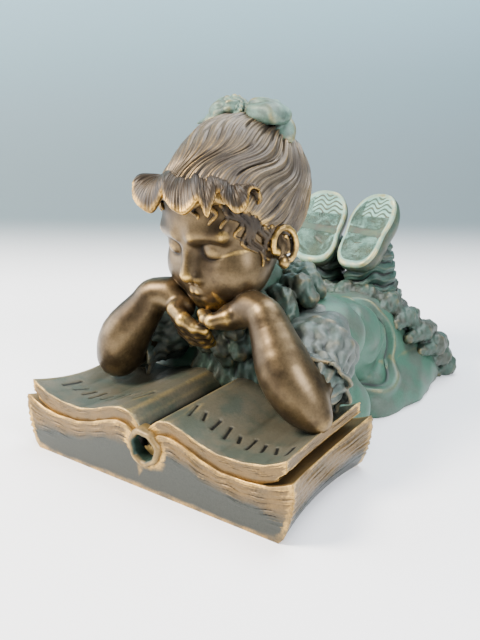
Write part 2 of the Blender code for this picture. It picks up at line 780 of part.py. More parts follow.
def hair_relief(points):
    """Locks that sweep up from the face and the neck and meet at the bow."""
    x, forward, up = in_head(points)
    local = np.stack([x, forward, up - 1.5], axis=1)
    knot = np.array(COMB_END) - (0, 0, 1.5)
    axis = knot / np.linalg.norm(knot)
    lean = np.array((0.0, axis[2], -axis[1]))
    reach = np.linalg.norm(local, axis=1)
    tilt = np.arccos(np.clip(local @ axis / reach, -1, 1))
    turn = np.arctan2(local @ np.array((1.0, 0.0, 0.0)), local @ lean)
    turn = turn + 0.10 * np.sin(3.1 * tilt + 1.7 * np.sin(2 * turn))
    locks = ridge(HAIR_LOCKS * turn)
    depth = depth_of(hair_masses(), 2.0, points) / MODULE
    mask = (above_hairline(points) > 0.3) & (np.abs(depth) < 0.3)
    fade = np.clip((tilt - 0.35) / 0.3, 0, 1)
    return LOCK_RELIEF * locks * mask * fade


FOLD_CENTRE = (32.5, 9.2)  # back and up, in modules
FOLD_RINGS = ((4.2, 0.18, 0.55), (5.05, -0.34, 0.32), (5.85, 0.44, 0.42))  # radius, rise, width
LOBE_CENTRE, LOBE_RADIUS, LOBE_RISE = (32.0, 12.4), 4.1, 0.40


def fold_relief(points):
    """A smooth lobe on each haunch, and round it a groove and a sharp fold."""
    x, y, z = (points / MODULE).T
    y = y + ORIGIN_BACK
    reach = np.hypot(y - FOLD_CENTRE[0], z - FOLD_CENTRE[1])
    folds = sum(rise * np.exp(-(((reach - ring) / wide) ** 2)) for ring, rise, wide in FOLD_RINGS)
    lobe = LOBE_RADIUS - np.hypot(y - LOBE_CENTRE[0], z - LOBE_CENTRE[1])
    folds += LOBE_RISE * np.clip(lobe / 0.6, 0, 1)
    where = np.clip((np.abs(x) - 4.0) / 3.0, 0, 1) * np.clip((y - 28.5) / 3.0, 0, 1)
    where *= np.clip((47.0 - y) / 2.0, 0, 1) * np.clip(z / 2.0, 0, 1) * (z < 14.5)
    return folds * where


SOCK_RELIEF = 0.22


def sock_relief(points):
    """Wrinkles round the socks between the frill and the shoes."""
    x, y, z = (points / MODULE).T
    y = y + ORIGIN_BACK
    legs = np.minimum(*(depth_of(leg_masses(side), 1.0, points) for side in (1, -1))) / MODULE
    along = z - 0.35 * np.abs(x) + 0.35 * np.sin(1.1 * x + 0.8 * y)
    mask = (np.abs(legs) < 0.35) * np.clip((z - 9.0) / 2.0, 0, 1) * (y > 41.5)
    return SOCK_RELIEF * ridge(2 * math.pi * along / 1.5) * mask


def on_head(mesh):
    """Which points of a mesh belong to the head and the hands."""
    points = mesh_points(mesh) / MODULE
    return (points[:, 2] > HEAD_ABOVE) & (points[:, 1] + ORIGIN_BACK < HEAD_BEFORE)


def coarser(mesh, chosen, triangles):
    """A mesh whose chosen part is made coarser, to about so many triangles, and no other."""
    figure = new_object("figure", mesh)
    group = figure.vertex_groups.new(name="coarser")
    group.add(np.flatnonzero(chosen).tolist(), 1.0, "REPLACE")
    # A closed skin has about twice as many triangles as points
    spared = 2 * np.count_nonzero(chosen) - triangles
    decimate = figure.modifiers.new("coarser", "DECIMATE")
    decimate.ratio = 1 - spared / (2 * len(mesh.vertices))
    decimate.vertex_group = group.name
    return finished_mesh(figure)


def build_figure():
    """The figure at the fineness of the solid, finest on the head and the hands."""
    figure = fine_figure()
    figure = coarser(figure, ~on_head(figure), BODY_TRIANGLES)
    figure = coarser(figure, on_head(figure), HEAD_TRIANGLES)
    return new_object("figure", figure)


# Shares from the gutter to the page's outer edge, and where the page's height is set there
PAGE_STOPS = (0.0, 0.05, 0.12, 0.20, 0.30, 0.42, 0.55, 0.72, 0.86, 0.95, 1.0)


def page_height(across, back):
    """Height of the open page, in metres. Both shares run over the page from 0 to 1."""
    hump = PAGE_HUMP_HEIGHT - PAGE_GUTTER_HEIGHT
    lift = PAGE_CORNER_HEIGHT - PAGE_DIP_HEIGHT
    heights = (
        PAGE_GUTTER_HEIGHT,
        PAGE_GUTTER_HEIGHT + 0.55 * hump,
        PAGE_GUTTER_HEIGHT + 0.93 * hump,
        PAGE_HUMP_HEIGHT,
        PAGE_DIP_HEIGHT + 0.75 * (PAGE_HUMP_HEIGHT - PAGE_DIP_HEIGHT),
        PAGE_DIP_HEIGHT + 0.30 * (PAGE_HUMP_HEIGHT - PAGE_DIP_HEIGHT),
        PAGE_DIP_HEIGHT,
        PAGE_DIP_HEIGHT + 0.04 * lift,
        PAGE_DIP_HEIGHT + 0.30 * lift,
        PAGE_DIP_HEIGHT + 0.70 * lift,
        PAGE_CORNER_HEIGHT,
    )
    sag = PAGE_SIDE_SAG * across**2 * (1 - (2 * back - 1) ** 2)
    return float(np.interp(across, PAGE_STOPS, heights)) - sag


def book_levels():
    """The book's outline from the floor up: height at a share of the page, width, depth in."""
    levels = [
        (lambda top, share: 0.0, BOOK_FOOT_WIDTH / 2, 0.004),
        (lambda top, share: 0.004, BOOK_FOOT_WIDTH / 2 + 0.003, 0.0015),
        (lambda top, share: cover_top(share), WIDEST - 0.004, 0.0),
    ]
    for n in range(2 * LOWER_RIDGES + 1):
        rise = (n + 0.5) / (2 * LOWER_RIDGES + 1)
        inset = LEAF_RIDGE * (n % 2 == 0)
        levels.append(
            (
                lambda top, share, rise=rise: cover_top(share)
                + rise * (lower_top(top, share) - cover_top(share)),
                WIDEST - 0.004 + 0.004 * rise - inset,
                inset,
            )
        )
    half = UPPER_LEAVES_WIDTH / 2
    levels += [
        (lambda top, share: lower_top(top, share), WIDEST, 0.001),
        (lambda top, share: lower_top(top, share) + 0.0005, half - LEAF_NOTCH, LEAF_NOTCH / 2),
        (lambda top, share: top - UPPER_LEAVES_THICKNESS, half - LEAF_NOTCH / 2, 0.003),
        (lambda top, share: top - 0.7 * UPPER_LEAVES_THICKNESS, half - 0.001, 0.0),
        (lambda top, share: top - 0.5 * UPPER_LEAVES_THICKNESS, half - 0.0025, LEAF_RIDGE),
        (lambda top, share: top - 0.3 * UPPER_LEAVES_THICKNESS, half, 0.0),
        (lambda top, share: top, half, 0.0005),
    ]
    return levels


def cover_top(share):
    """Top of the smooth cover on the front, higher at the gutter than at the corners."""
    return COVER_HEIGHT + (COVER_GUTTER_HEIGHT - COVER_HEIGHT) * (1 - share)


def lower_top(top, share):
    """Top of the lower group of leaves, which parts from the upper one near the corners."""
    return top - UPPER_LEAVES_THICKNESS - 0.001 - LEAF_GAP * share**2


def build_book():
    """The open book: a block cut into a lattice, whose levels are then set in their places."""
    levels = book_levels()
    shares = sorted({*PAGE_STOPS, *(-stop for stop in PAGE_STOPS)})
    spans = (
        [(1 + share) / 2 for share in shares],
        [n / BOOK_STATIONS for n in range(BOOK_STATIONS + 1)],
        [n / (len(levels) - 1) for n in range(len(levels))],
    )
    bm = bmesh.new()
    bmesh.ops.create_cube(bm, size=1.0)
    bmesh.ops.translate(bm, verts=bm.verts, vec=(0.5, 0.5, 0.5))
    for axis, stops in enumerate(spans):
        normal = Vector([float(axis == n) for n in range(3)])
        for stop in stops[1:-1]:
            everything = [*bm.verts, *bm.edges, *bm.faces]
            bmesh.ops.bisect_plane(bm, geom=everything, plane_co=normal * stop, plane_no=normal)
    for vert in bm.verts:
        across = 2 * vert.co.x - 1
        back = vert.co.y
        height, half, inset = levels[round(vert.co.z * (len(levels) - 1))]
        share = abs(across)
        upper = round(vert.co.z * (len(levels) - 1)) > len(levels) - 6
        depth = UPPER_LEAVES_DEPTH if upper else BOOK_DEPTH
        front = UPPER_LEAVES_SETBACK if upper else 0.0
        hollow = BOOK_SIDE_HOLLOW * (1 - (2 * back - 1) ** 2) * share**2
        top = page_height(share, back)
        y = BOOK_FRONT + front + inset + back * (depth - 2 * inset)
        vert.co = (math.copysign(1, across) * share * (half - hollow), y, height(top, share))
    floor = [face for face in bm.faces if all(vert.co.z < 0.0001 for vert in face.verts)]
    bmesh.ops.dissolve_faces(bm, faces=floor)
    mesh = bpy.data.meshes.new("book")
    bm.to_mesh(mesh)
    bm.free()
    return new_object("book", mesh)


def spine_rod(radius, start, length, sides):
    """A rod along the roll of the book's spine."""
    bm = bmesh.new()
    middle = Matrix.Translation((SPINE_ROLL_SIDE, start + length / 2, SPINE_ROLL_HEIGHT))
    bmesh.ops.create_cone(
        bm,
        cap_ends=True,
        segments=sides,
        radius1=radius,
        radius2=radius,
        depth=length,
        matrix=middle @ Matrix.Rotation(math.pi / 2, 4, "X"),
    )
    mesh = bpy.data.meshes.new("rod")
    bm.to_mesh(mesh)
    bm.free()
    return new_object("rod", mesh)


def ground_block():
    """Everything below the surface that the statue stands on."""
    bm = bmesh.new()
    size = 2 * STATUE_LENGTH
    matrix = Matrix.Translation((0, 0, -size / 2)) @ Matrix.Scale(size, 4)
    bmesh.ops.create_cube(bm, size=1.0, matrix=matrix)
    mesh = bpy.data.meshes.new("ground")
    bm.to_mesh(mesh)
    bm.free()
    return new_object("ground", mesh)


def stroke_marks():
    """Rows of shallow strokes in the pages, where a book has its words. They spell nothing."""
    bm = bmesh.new()
    for side in (1, -1):
        for n in range(STROKES_PER_PAGE):
            across = STROKE_FIRST + n * STROKE_PITCH
            x = side * across
            share = abs(x) / (UPPER_LEAVES_WIDTH / 2)
            top = page_height(min(share, 1.0), STROKE_BACK)
            length = STROKE_LENGTH * (0.75 + 0.25 * math.cos(2.4 * n))
            lean = math.radians(24 * (-1) ** n)
            y = BOOK_FRONT + UPPER_LEAVES_SETBACK + STROKE_BACK * UPPER_LEAVES_DEPTH
            matrix = (
                Matrix.Translation((x, y, top))
                @ Matrix.Rotation(lean, 4, "Z")
                @ Matrix.Diagonal((STROKE_WIDTH, length, 2 * STROKE_DEPTH, 1.0))
            )
            bmesh.ops.create_cube(bm, size=1.0, matrix=matrix)
    mesh = bpy.data.meshes.new("strokes")
    bm.to_mesh(mesh)
    bm.free()
    return new_object("strokes", mesh)


def drop_pockets(mesh):
    """Keeps the outer skin of a mesh and fills every closed pocket inside it."""
    bm = bmesh.new()
    bm.from_mesh(mesh)
    left = set(bm.verts)
    skins = []
    while left:
        skin = {left.pop()}
        rim = list(skin)
        while rim:
            near = {edge.other_vert(vert) for vert in rim for edge in vert.link_edges}
            rim = list(near & left)
            skin.update(rim)
            left.difference_update(rim)
        skins.append(skin)
    skins.sort(key=len)
    for skin in skins[:-1]:
        bmesh.ops.delete(bm, geom=list(skin), context="VERTS")
    bm.to_mesh(mesh)
    bm.free()


def combine(body, tool, operation):
    """Joins a tool to a body, or cuts it away, and moves the tool to the cutters."""
    step = body.modifiers.new(operation.lower(), "BOOLEAN")
    step.operation = operation
    step.solver = "EXACT"
    step.object = tool
    mesh = finished_mesh(body)
    bpy.data.objects.remove(tool)
    return new_object("reading_child", mesh)


def bronze_resin():
    """Cold-cast bronze resin with a worn brown and green patina."""
    material = bpy.data.materials.new("cold_cast_bronze")
    material.use_nodes = True
    shader = material.node_tree.nodes["Principled BSDF"]
    shader.inputs["Base Color"].default_value = (0.16, 0.13, 0.09, 1.0)
    shader.inputs["Metallic"].default_value = 0.6
    shader.inputs["Roughness"].default_value = 0.45
    return material


def build_statue():
    figure = combine(build_figure(), ground_block(), "DIFFERENCE")
    book = combine(build_book(), stroke_marks(), "DIFFERENCE")
    roll = spine_rod(SPINE_ROLL_RADIUS, BOOK_FRONT - SPINE_ROLL_REACH, 3 * SPINE_ROLL_REACH, 20)
    book = combine(book, roll, "UNION")
    hole_start = BOOK_FRONT - 2 * SPINE_ROLL_REACH
    hole = spine_rod(
        SPINE_ROLL_RADIUS - SPINE_ROLL_WALL, hole_start, SPINE_ROLL_REACH + SPINE_HOLE_DEPTH, 16
    )
    book = combine(book, hole, "DIFFERENCE")
    statue = combine(book, figure, "UNION")
    drop_pockets(statue.data)
    statue.name = "reading_child"
    statue.data.name = "reading_child"
    statue.data.materials.clear()
    statue.data.materials.append(bronze_resin())
    return statue


def main():
    for obj in list(bpy.data.objects):
        bpy.data.objects.remove(obj)
    statue = build_statue()
    parts = bpy.data.collections.new("reading child statue")
    bpy.context.scene.collection.children.link(parts)
    parts.objects.link(statue)
    bpy.context.scene.collection.objects.unlink(statue)


main()
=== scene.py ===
"""Looks of the reading child, a one-piece cold-cast bronze garden statue.

Every piece below is part of the one casting and stands for its solid: the bare skin, the
combed hair, the fringe and small locks, the bow, the dress and its trims, the socks and
shoes, and the open book.
"""

import math

import bmesh
import bpy
import numpy as np
from mathutils import Euler, Matrix, Vector


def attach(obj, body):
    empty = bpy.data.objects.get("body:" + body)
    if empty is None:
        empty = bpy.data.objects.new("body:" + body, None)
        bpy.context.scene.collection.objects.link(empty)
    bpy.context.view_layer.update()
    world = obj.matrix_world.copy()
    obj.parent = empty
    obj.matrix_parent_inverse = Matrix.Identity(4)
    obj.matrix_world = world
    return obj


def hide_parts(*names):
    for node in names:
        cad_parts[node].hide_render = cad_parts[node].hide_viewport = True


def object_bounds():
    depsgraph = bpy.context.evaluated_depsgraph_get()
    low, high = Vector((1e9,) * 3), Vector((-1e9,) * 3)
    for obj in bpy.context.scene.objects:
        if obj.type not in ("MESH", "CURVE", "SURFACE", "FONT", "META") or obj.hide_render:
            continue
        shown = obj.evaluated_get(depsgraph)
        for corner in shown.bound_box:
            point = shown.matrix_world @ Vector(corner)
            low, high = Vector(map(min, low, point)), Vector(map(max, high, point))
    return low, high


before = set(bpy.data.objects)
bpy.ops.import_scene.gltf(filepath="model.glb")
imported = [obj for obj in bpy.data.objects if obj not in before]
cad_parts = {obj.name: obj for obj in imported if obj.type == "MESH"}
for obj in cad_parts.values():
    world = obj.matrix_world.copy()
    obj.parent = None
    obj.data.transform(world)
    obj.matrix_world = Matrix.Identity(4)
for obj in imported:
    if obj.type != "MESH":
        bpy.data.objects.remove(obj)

CAD_LOW, CAD_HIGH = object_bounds()

# The casting's forms are given in modules. The book is 36 modules wide
MODULE = (CAD_HIGH.x - CAD_LOW.x) / 36.0
ORIGIN_BACK = 27.5  # modules from the front of the book back to the frame's origin
MM = 0.001

COARSER = 1.0
SKIN_VOXEL = 1.35 * MM * COARSER
DRESS_VOXEL = 2.1 * MM * COARSER
TRIM_VOXEL = 1.6 * MM * COARSER
SOCK_VOXEL = 1.7 * MM * COARSER
CURL_VOXEL = 1.0 * MM * COARSER
SETTLE_STEPS = 6
RELAX_STEPS = 4  # of them, the first ones also even the skin out
RELAX_ROUNDS, RELAX_SHARE = 3, 0.7
# Smoothing that finds where points stand proud. It is broad, so that on the bare skin the gold also lies
# as a painted highlight on the rounded parts
WEAR_AND_HIGHLIGHT_ROUNDS, WEAR_AND_HIGHLIGHT_SHARE = round(34 / COARSER**2), 0.6
BISECTIONS = 20  # halvings that find where a line leaves the head

# How softly the masses of a form run into each other, in modules
SKULL_SOFT, TRUNK_SOFT, SLEEVE_SOFT, PUFF_SOFT, LEG_SOFT = 2.0, 2.5, 1.0, 0.35, 1.0


def finer(count):
    return max(3, round(count / COARSER))


def place(x, y, z):
    """A point of the casting, from modules to metres."""
    return np.array((x, y - ORIGIN_BACK, z)) * MODULE


class Egg:
    """A ball stretched to three radii and turned."""

    def __init__(self, centre, radii, turn=(0, 0, 0)):
        self.centre = np.array(centre, float)
        self.radii = np.array(radii, float) * MODULE
        angles = [math.radians(angle) for angle in turn]
        self.turn = np.array(Euler(angles).to_matrix())

    def depth(self, points):
        local = (points - self.centre) @ self.turn
        ratio = np.linalg.norm(local / self.radii, axis=1)
        slope = np.linalg.norm(local / self.radii**2, axis=1)
        return ratio * (ratio - 1.0) / np.maximum(slope, 1e-9)

    def add_to(self, bm):
        matrix = (
            Matrix.Translation(Vector(self.centre))
            @ Matrix(self.turn.tolist()).to_4x4()
            @ Matrix.Diagonal((*self.radii, 1.0))
        )
        bmesh.ops.create_icosphere(bm, subdivisions=3, radius=1.0, matrix=matrix)


class Limb:
    """A tapered rod with round ends."""

    def __init__(self, start, end, start_radius, end_radius):
        self.start, self.end = np.array(start, float), np.array(end, float)
        self.radii = np.array((start_radius, end_radius), float) * MODULE

    def depth(self, points):
        along = self.end - self.start
        reach = points - self.start
        share = np.clip(reach @ along / max(along @ along, 1e-12), 0.0, 1.0)
        gap = np.linalg.norm(reach - share[:, None] * along, axis=1)
        return gap - (self.radii[0] + (self.radii[1] - self.radii[0]) * share)

    def add_to(self, bm):
        along = Vector(self.end - self.start)
        for end, radius in ((self.start, self.radii[0]), (self.end, self.radii[1])):
            matrix = Matrix.Translation(Vector(end))
            bmesh.ops.create_icosphere(bm, subdivisions=2, radius=radius, matrix=matrix)
        turn = along.to_track_quat("Z", "Y").to_matrix().to_4x4()
        middle = Matrix.Translation(Vector((self.start + self.end) / 2))
        bmesh.ops.create_cone(
            bm,
            cap_ends=True,
            segments=14,
            radius1=self.radii[0],
            radius2=self.radii[1],
            depth=max(along.length, 1e-5),
            matrix=middle @ turn,
        )


def chain(points, radii):
    """A bent rod: limbs from each point to the next."""
    return [
        Limb(a, b, ra, rb)
        for a, b, ra, rb in zip(points, points[1:], radii, radii[1:])
    ]


def smooth_track(stops, share):
    """Points of a smooth curve through evenly spaced stops, at shares of its length."""
    stops = np.array(stops, float)
    reach = share * (len(stops) - 1)
    n = np.minimum(reach.astype(int), len(stops) - 2)
    t = (reach - n)[:, None]
    before, start, end, after = (stops[np.clip(n + m, 0, len(stops) - 1)] for m in range(-1, 3))
    bend = (2 * before - 5 * start + 4 * end - after) * t**2
    turn = (3 * start - before - 3 * end + after) * t**3
    return start + ((end - before) * t + bend + turn) / 2


def smooth_chain(points, radii, count):
    """A rod of count limbs that bends and tapers smoothly through the points."""
    stops = [(*point, radius) for point, radius in zip(points, radii)]
    track = smooth_track(stops, np.linspace(0, 1, count + 1))
    return chain(list(track[:, :3]), list(track[:, 3]))


def both_sides(maker):
    """What maker gives for the child's left side and for the right one."""
    return [*maker(1), *maker(-1)]


def soft_union(first, second, softness):
    """The lower of two depths, with the joint between them filled softly."""
    reach = softness * MODULE
    share = np.maximum(reach - np.abs(first - second), 0.0) / reach
    return np.minimum(first, second) - share * share * reach / 4


def soft_cut(body, cutter, softness):
    """The depth of a body from which a cutter is taken."""
    return -soft_union(-body, cutter, softness)


def depth_of(masses, softness, points):
    total = masses[0].depth(points)
    for mass in masses[1:]:
        total = soft_union(total, mass.depth(points), softness)
    return total


def ridge(phase, sharpness=3):
    """Rounded ridges between narrow grooves, from -1 to 1."""
    return 1 - 2 * np.abs(np.cos(phase / 2)) ** sharpness


def mesh_points(mesh):
    points = np.empty(len(mesh.vertices) * 3, np.float32)
    mesh.vertices.foreach_get("co", points)
    return points.reshape(-1, 3).astype(float)


def mesh_normals(mesh):
    normals = np.empty(len(mesh.vertices) * 3, np.float32)
    mesh.vertices.foreach_get("normal", normals)
    return normals.reshape(-1, 3).astype(float)


def set_mesh_points(mesh, points):
    mesh.vertices.foreach_set("co", points.astype(np.float32).ravel())
    mesh.update()


def set_value(mesh, name, values):
    """Stores one number for each point of a mesh, for the materials."""
    layer = mesh.attributes.get(name) or mesh.attributes.new(name, "FLOAT", "POINT")
    layer.data.foreach_set("value", np.ascontiguousarray(values, np.float32))


def new_object(name, mesh):
    obj = bpy.data.objects.new(name, mesh)
    bpy.context.scene.collection.objects.link(obj)
    return obj


def finished_mesh(obj):
    """The mesh that an object has once its modifiers are applied. The object is removed."""
    bpy.context.view_layer.update()
    graph = bpy.context.evaluated_depsgraph_get()
    mesh = bpy.data.meshes.new_from_object(obj.evaluated_get(graph))
    bpy.data.objects.remove(obj)
    return mesh


def voxel_skin(bm, voxel):
    """One closed skin round everything in a bmesh, which is freed."""
    mesh = bpy.data.meshes.new("skin")
    bm.to_mesh(mesh)
    bm.free()
    obj = new_object("skin", mesh)
    remesh = obj.modifiers.new("skin", "REMESH")
    remesh.mode = "VOXEL"
    remesh.voxel_size = voxel
    return finished_mesh(obj)


def edge_ends(mesh):
    ends = np.empty(len(mesh.edges) * 2, np.int32)
    mesh.edges.foreach_get("vertices", ends)
    return ends


def evened(points, ends, share):
    """Points moved by a share of the way to the middle of the points that edges join them to."""
    first, second = ends[0::2], ends[1::2]
    count = len(points)
    near = np.maximum(np.bincount(ends, minlength=count), 1)
    total = np.empty_like(points)
    for axis in range(3):
        total[:, axis] = np.bincount(first, points[second, axis], count)
        total[:, axis] += np.bincount(second, points[first, axis], count)
    return (1 - share) * points + share * total / near[:, None]


def settled_skin(masses, depth, voxel):
    """A closed skin of masses, moved onto the surface where their joint depth is zero."""
    bm = bmesh.new()
    for mass in masses:
        mass.add_to(bm)
    skin = voxel_skin(bm, voxel)
    ends = edge_ends(skin)
    for step in range(SETTLE_STEPS):
        points = mesh_points(skin)
        move = np.clip(-depth(points), -2 * voxel, 2 * voxel)
        points = points + mesh_normals(skin) * move[:, None]
        for _ in range(RELAX_ROUNDS if step < RELAX_STEPS else 0):
            points = evened(points, ends, RELAX_SHARE)
        set_mesh_points(skin, points)
    return skin


def raise_relief(mesh, height):
    """Moves the points of a mesh out along their normals by a height in modules."""
    set_mesh_points(mesh, mesh_points(mesh) + mesh_normals(mesh) * (height * MODULE)[:, None])


SLOPE_STEP = 0.004  # share of a ribbon over which its slope is taken


def ribbon(columns, rows, wall, shape, relief=None, bead=0.0):
    """A closed ribbon with round edges. shape gives its middle from two shares, 0 to 1.

    The shares run across, from end to end, and along, from the root to the free edge, where
    a bead makes it thicker.
    """
    bm = bmesh.new()
    bmesh.ops.create_grid(bm, x_segments=columns, y_segments=2 * rows, size=0.5)
    mesh = bpy.data.meshes.new("ribbon")
    bm.to_mesh(mesh)
    bm.free()
    grid = mesh_points(mesh) + 0.5
    across = np.clip(grid[:, 0], 0.0, 1.0)
    turn = 2 * math.pi * grid[:, 1]
    along = (1 - np.cos(turn)) / 2
    side = np.sign(np.sin(turn)) * np.abs(np.sin(turn)) ** 0.5 * (1 + bead * along**10)
    middle = shape(across, along)
    near = [np.clip(across + step, 0.0, 1.0) for step in (-SLOPE_STEP, SLOPE_STEP)]
    sideways = shape(near[1], along) - shape(near[0], along)
    near = [np.clip(along + step, 0.0, 1.0) for step in (-SLOPE_STEP, SLOPE_STEP)]
    forward = shape(across, near[1]) - shape(across, near[0])
    normal = np.cross(sideways, forward)
    normal /= np.maximum(np.linalg.norm(normal, axis=1), 1e-12)[:, None]
    offset = side * wall / 2
    if relief is not None:
        offset = offset + relief(across, along)
    set_mesh_points(mesh, middle + normal * (offset * MODULE)[:, None])
    set_value(mesh, "rim", along**6)
    bm = bmesh.new()
    bm.from_mesh(mesh)
    bmesh.ops.remove_doubles(bm, verts=bm.verts, dist=1e-6)
    bmesh.ops.holes_fill(bm, edges=[edge for edge in bm.edges if edge.is_boundary], sides=0)
    bmesh.ops.recalc_face_normals(bm, faces=bm.faces)
    bm.to_mesh(mesh)
    bm.free()
    return mesh


def mark_wear_and_highlight(mesh, reach):
    """Stores how far each point stands proud of its surroundings, or lies in a hollow.

    The stored values are 1 where it stands or lies as far as reach, in modules. The smoothing is broad,
    so on the bare skin the proud value also lays the gold as a painted highlight over cheeks, nose and
    forearms.
    """
    points, normals = mesh_points(mesh), mesh_normals(mesh)
    ends = edge_ends(mesh)
    smooth = points
    for _ in range(WEAR_AND_HIGHLIGHT_ROUNDS):
        smooth = evened(smooth, ends, WEAR_AND_HIGHLIGHT_SHARE)
    proud = ((points - smooth) * normals).sum(axis=1) / (reach * MODULE)
    set_value(mesh, "worn_and_highlight", np.clip(proud, 0.0, 1.0))
    set_value(mesh, "hollow", np.clip(-proud, 0.0, 1.0))
    for name in ("rim", "tone"):
        if name not in mesh.attributes:
            set_value(mesh, name, np.zeros(len(points)))


# The most triangles that each piece may have, so that all stay under a million
TRIANGLES = {
    "bare_skin": 185_000, "combed_hair": 125_000, "fringe_and_locks": 80_000, "hair_bow": 30_000,
    "dress": 150_000, "dress_trims": 150_000, "socks_and_shoes": 95_000, "open_book": 150_000,
}


def thinned(mesh, share):
    """A mesh with only a share of its triangles, the fewest where it is flattest."""
    obj = new_object("thinned", mesh)
    obj.modifiers.new("thinned", "DECIMATE").ratio = share
    return finished_mesh(obj)


def make_piece(name, parts):
    """One piece of the looks from meshes, their materials and the reach of their burnished gold, which
    on the bare skin is also a painted highlight.
    """
    objects = []
    total = sum(len(face.vertices) - 2 for mesh, _, _ in parts for face in mesh.polygons)
    for mesh, materials, reach in parts:
        mark_wear_and_highlight(mesh, reach)
        for material in materials if isinstance(materials, tuple) else (materials,):
            mesh.materials.append(material)
        if total > TRIANGLES[name]:
            mesh = thinned(mesh, TRIANGLES[name] / total)
        mesh.shade_smooth()
        objects.append(new_object(name, mesh))
    for mesh in [mesh for mesh in bpy.data.meshes if not mesh.users]:
        bpy.data.meshes.remove(mesh)
    whole = objects[0]
    if len(objects) > 1:
        with bpy.context.temp_override(
            active_object=whole, object=whole, selected_editable_objects=objects
        ):
            bpy.ops.object.join()
    whole.name = name
    whole.data.name = name
    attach(whole, "root")
    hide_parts("reading_child")
    return whole


# Materials: cold-cast bronze resin under a brushed brown and green patina


def hex_colour(code):
    """Linear colour from an sRGB hex code."""
    values = [int(code[n : n + 2], 16) / 255 for n in (1, 3, 5)]
    linear = [v / 12.92 if v <= 0.04045 else ((v + 0.055) / 1.055) ** 2.4 for v in values]
    return (*linear, 1.0)


def add_node(tree, kind, settings=None, inputs=None, links=None):
    """Adds a node with its settings, its input values and what is linked into it."""
    node = tree.nodes.new(kind)
    for key, value in (settings or {}).items():
        setattr(node, key, value)
    for key, value in (inputs or {}).items():
        node.inputs[key].default_value = value
    for key, source in (links or {}).items():
        tree.links.new(source, node.inputs[key])
    return node


def per_mm(size):
    """Noise scale whose grains are about size millimetres across."""
    return 1.0 / (size * MM)


WORN_AND_HIGHLIGHT_ROUGH, WORN_AND_HIGHLIGHT_METAL = 0.30, 0.95


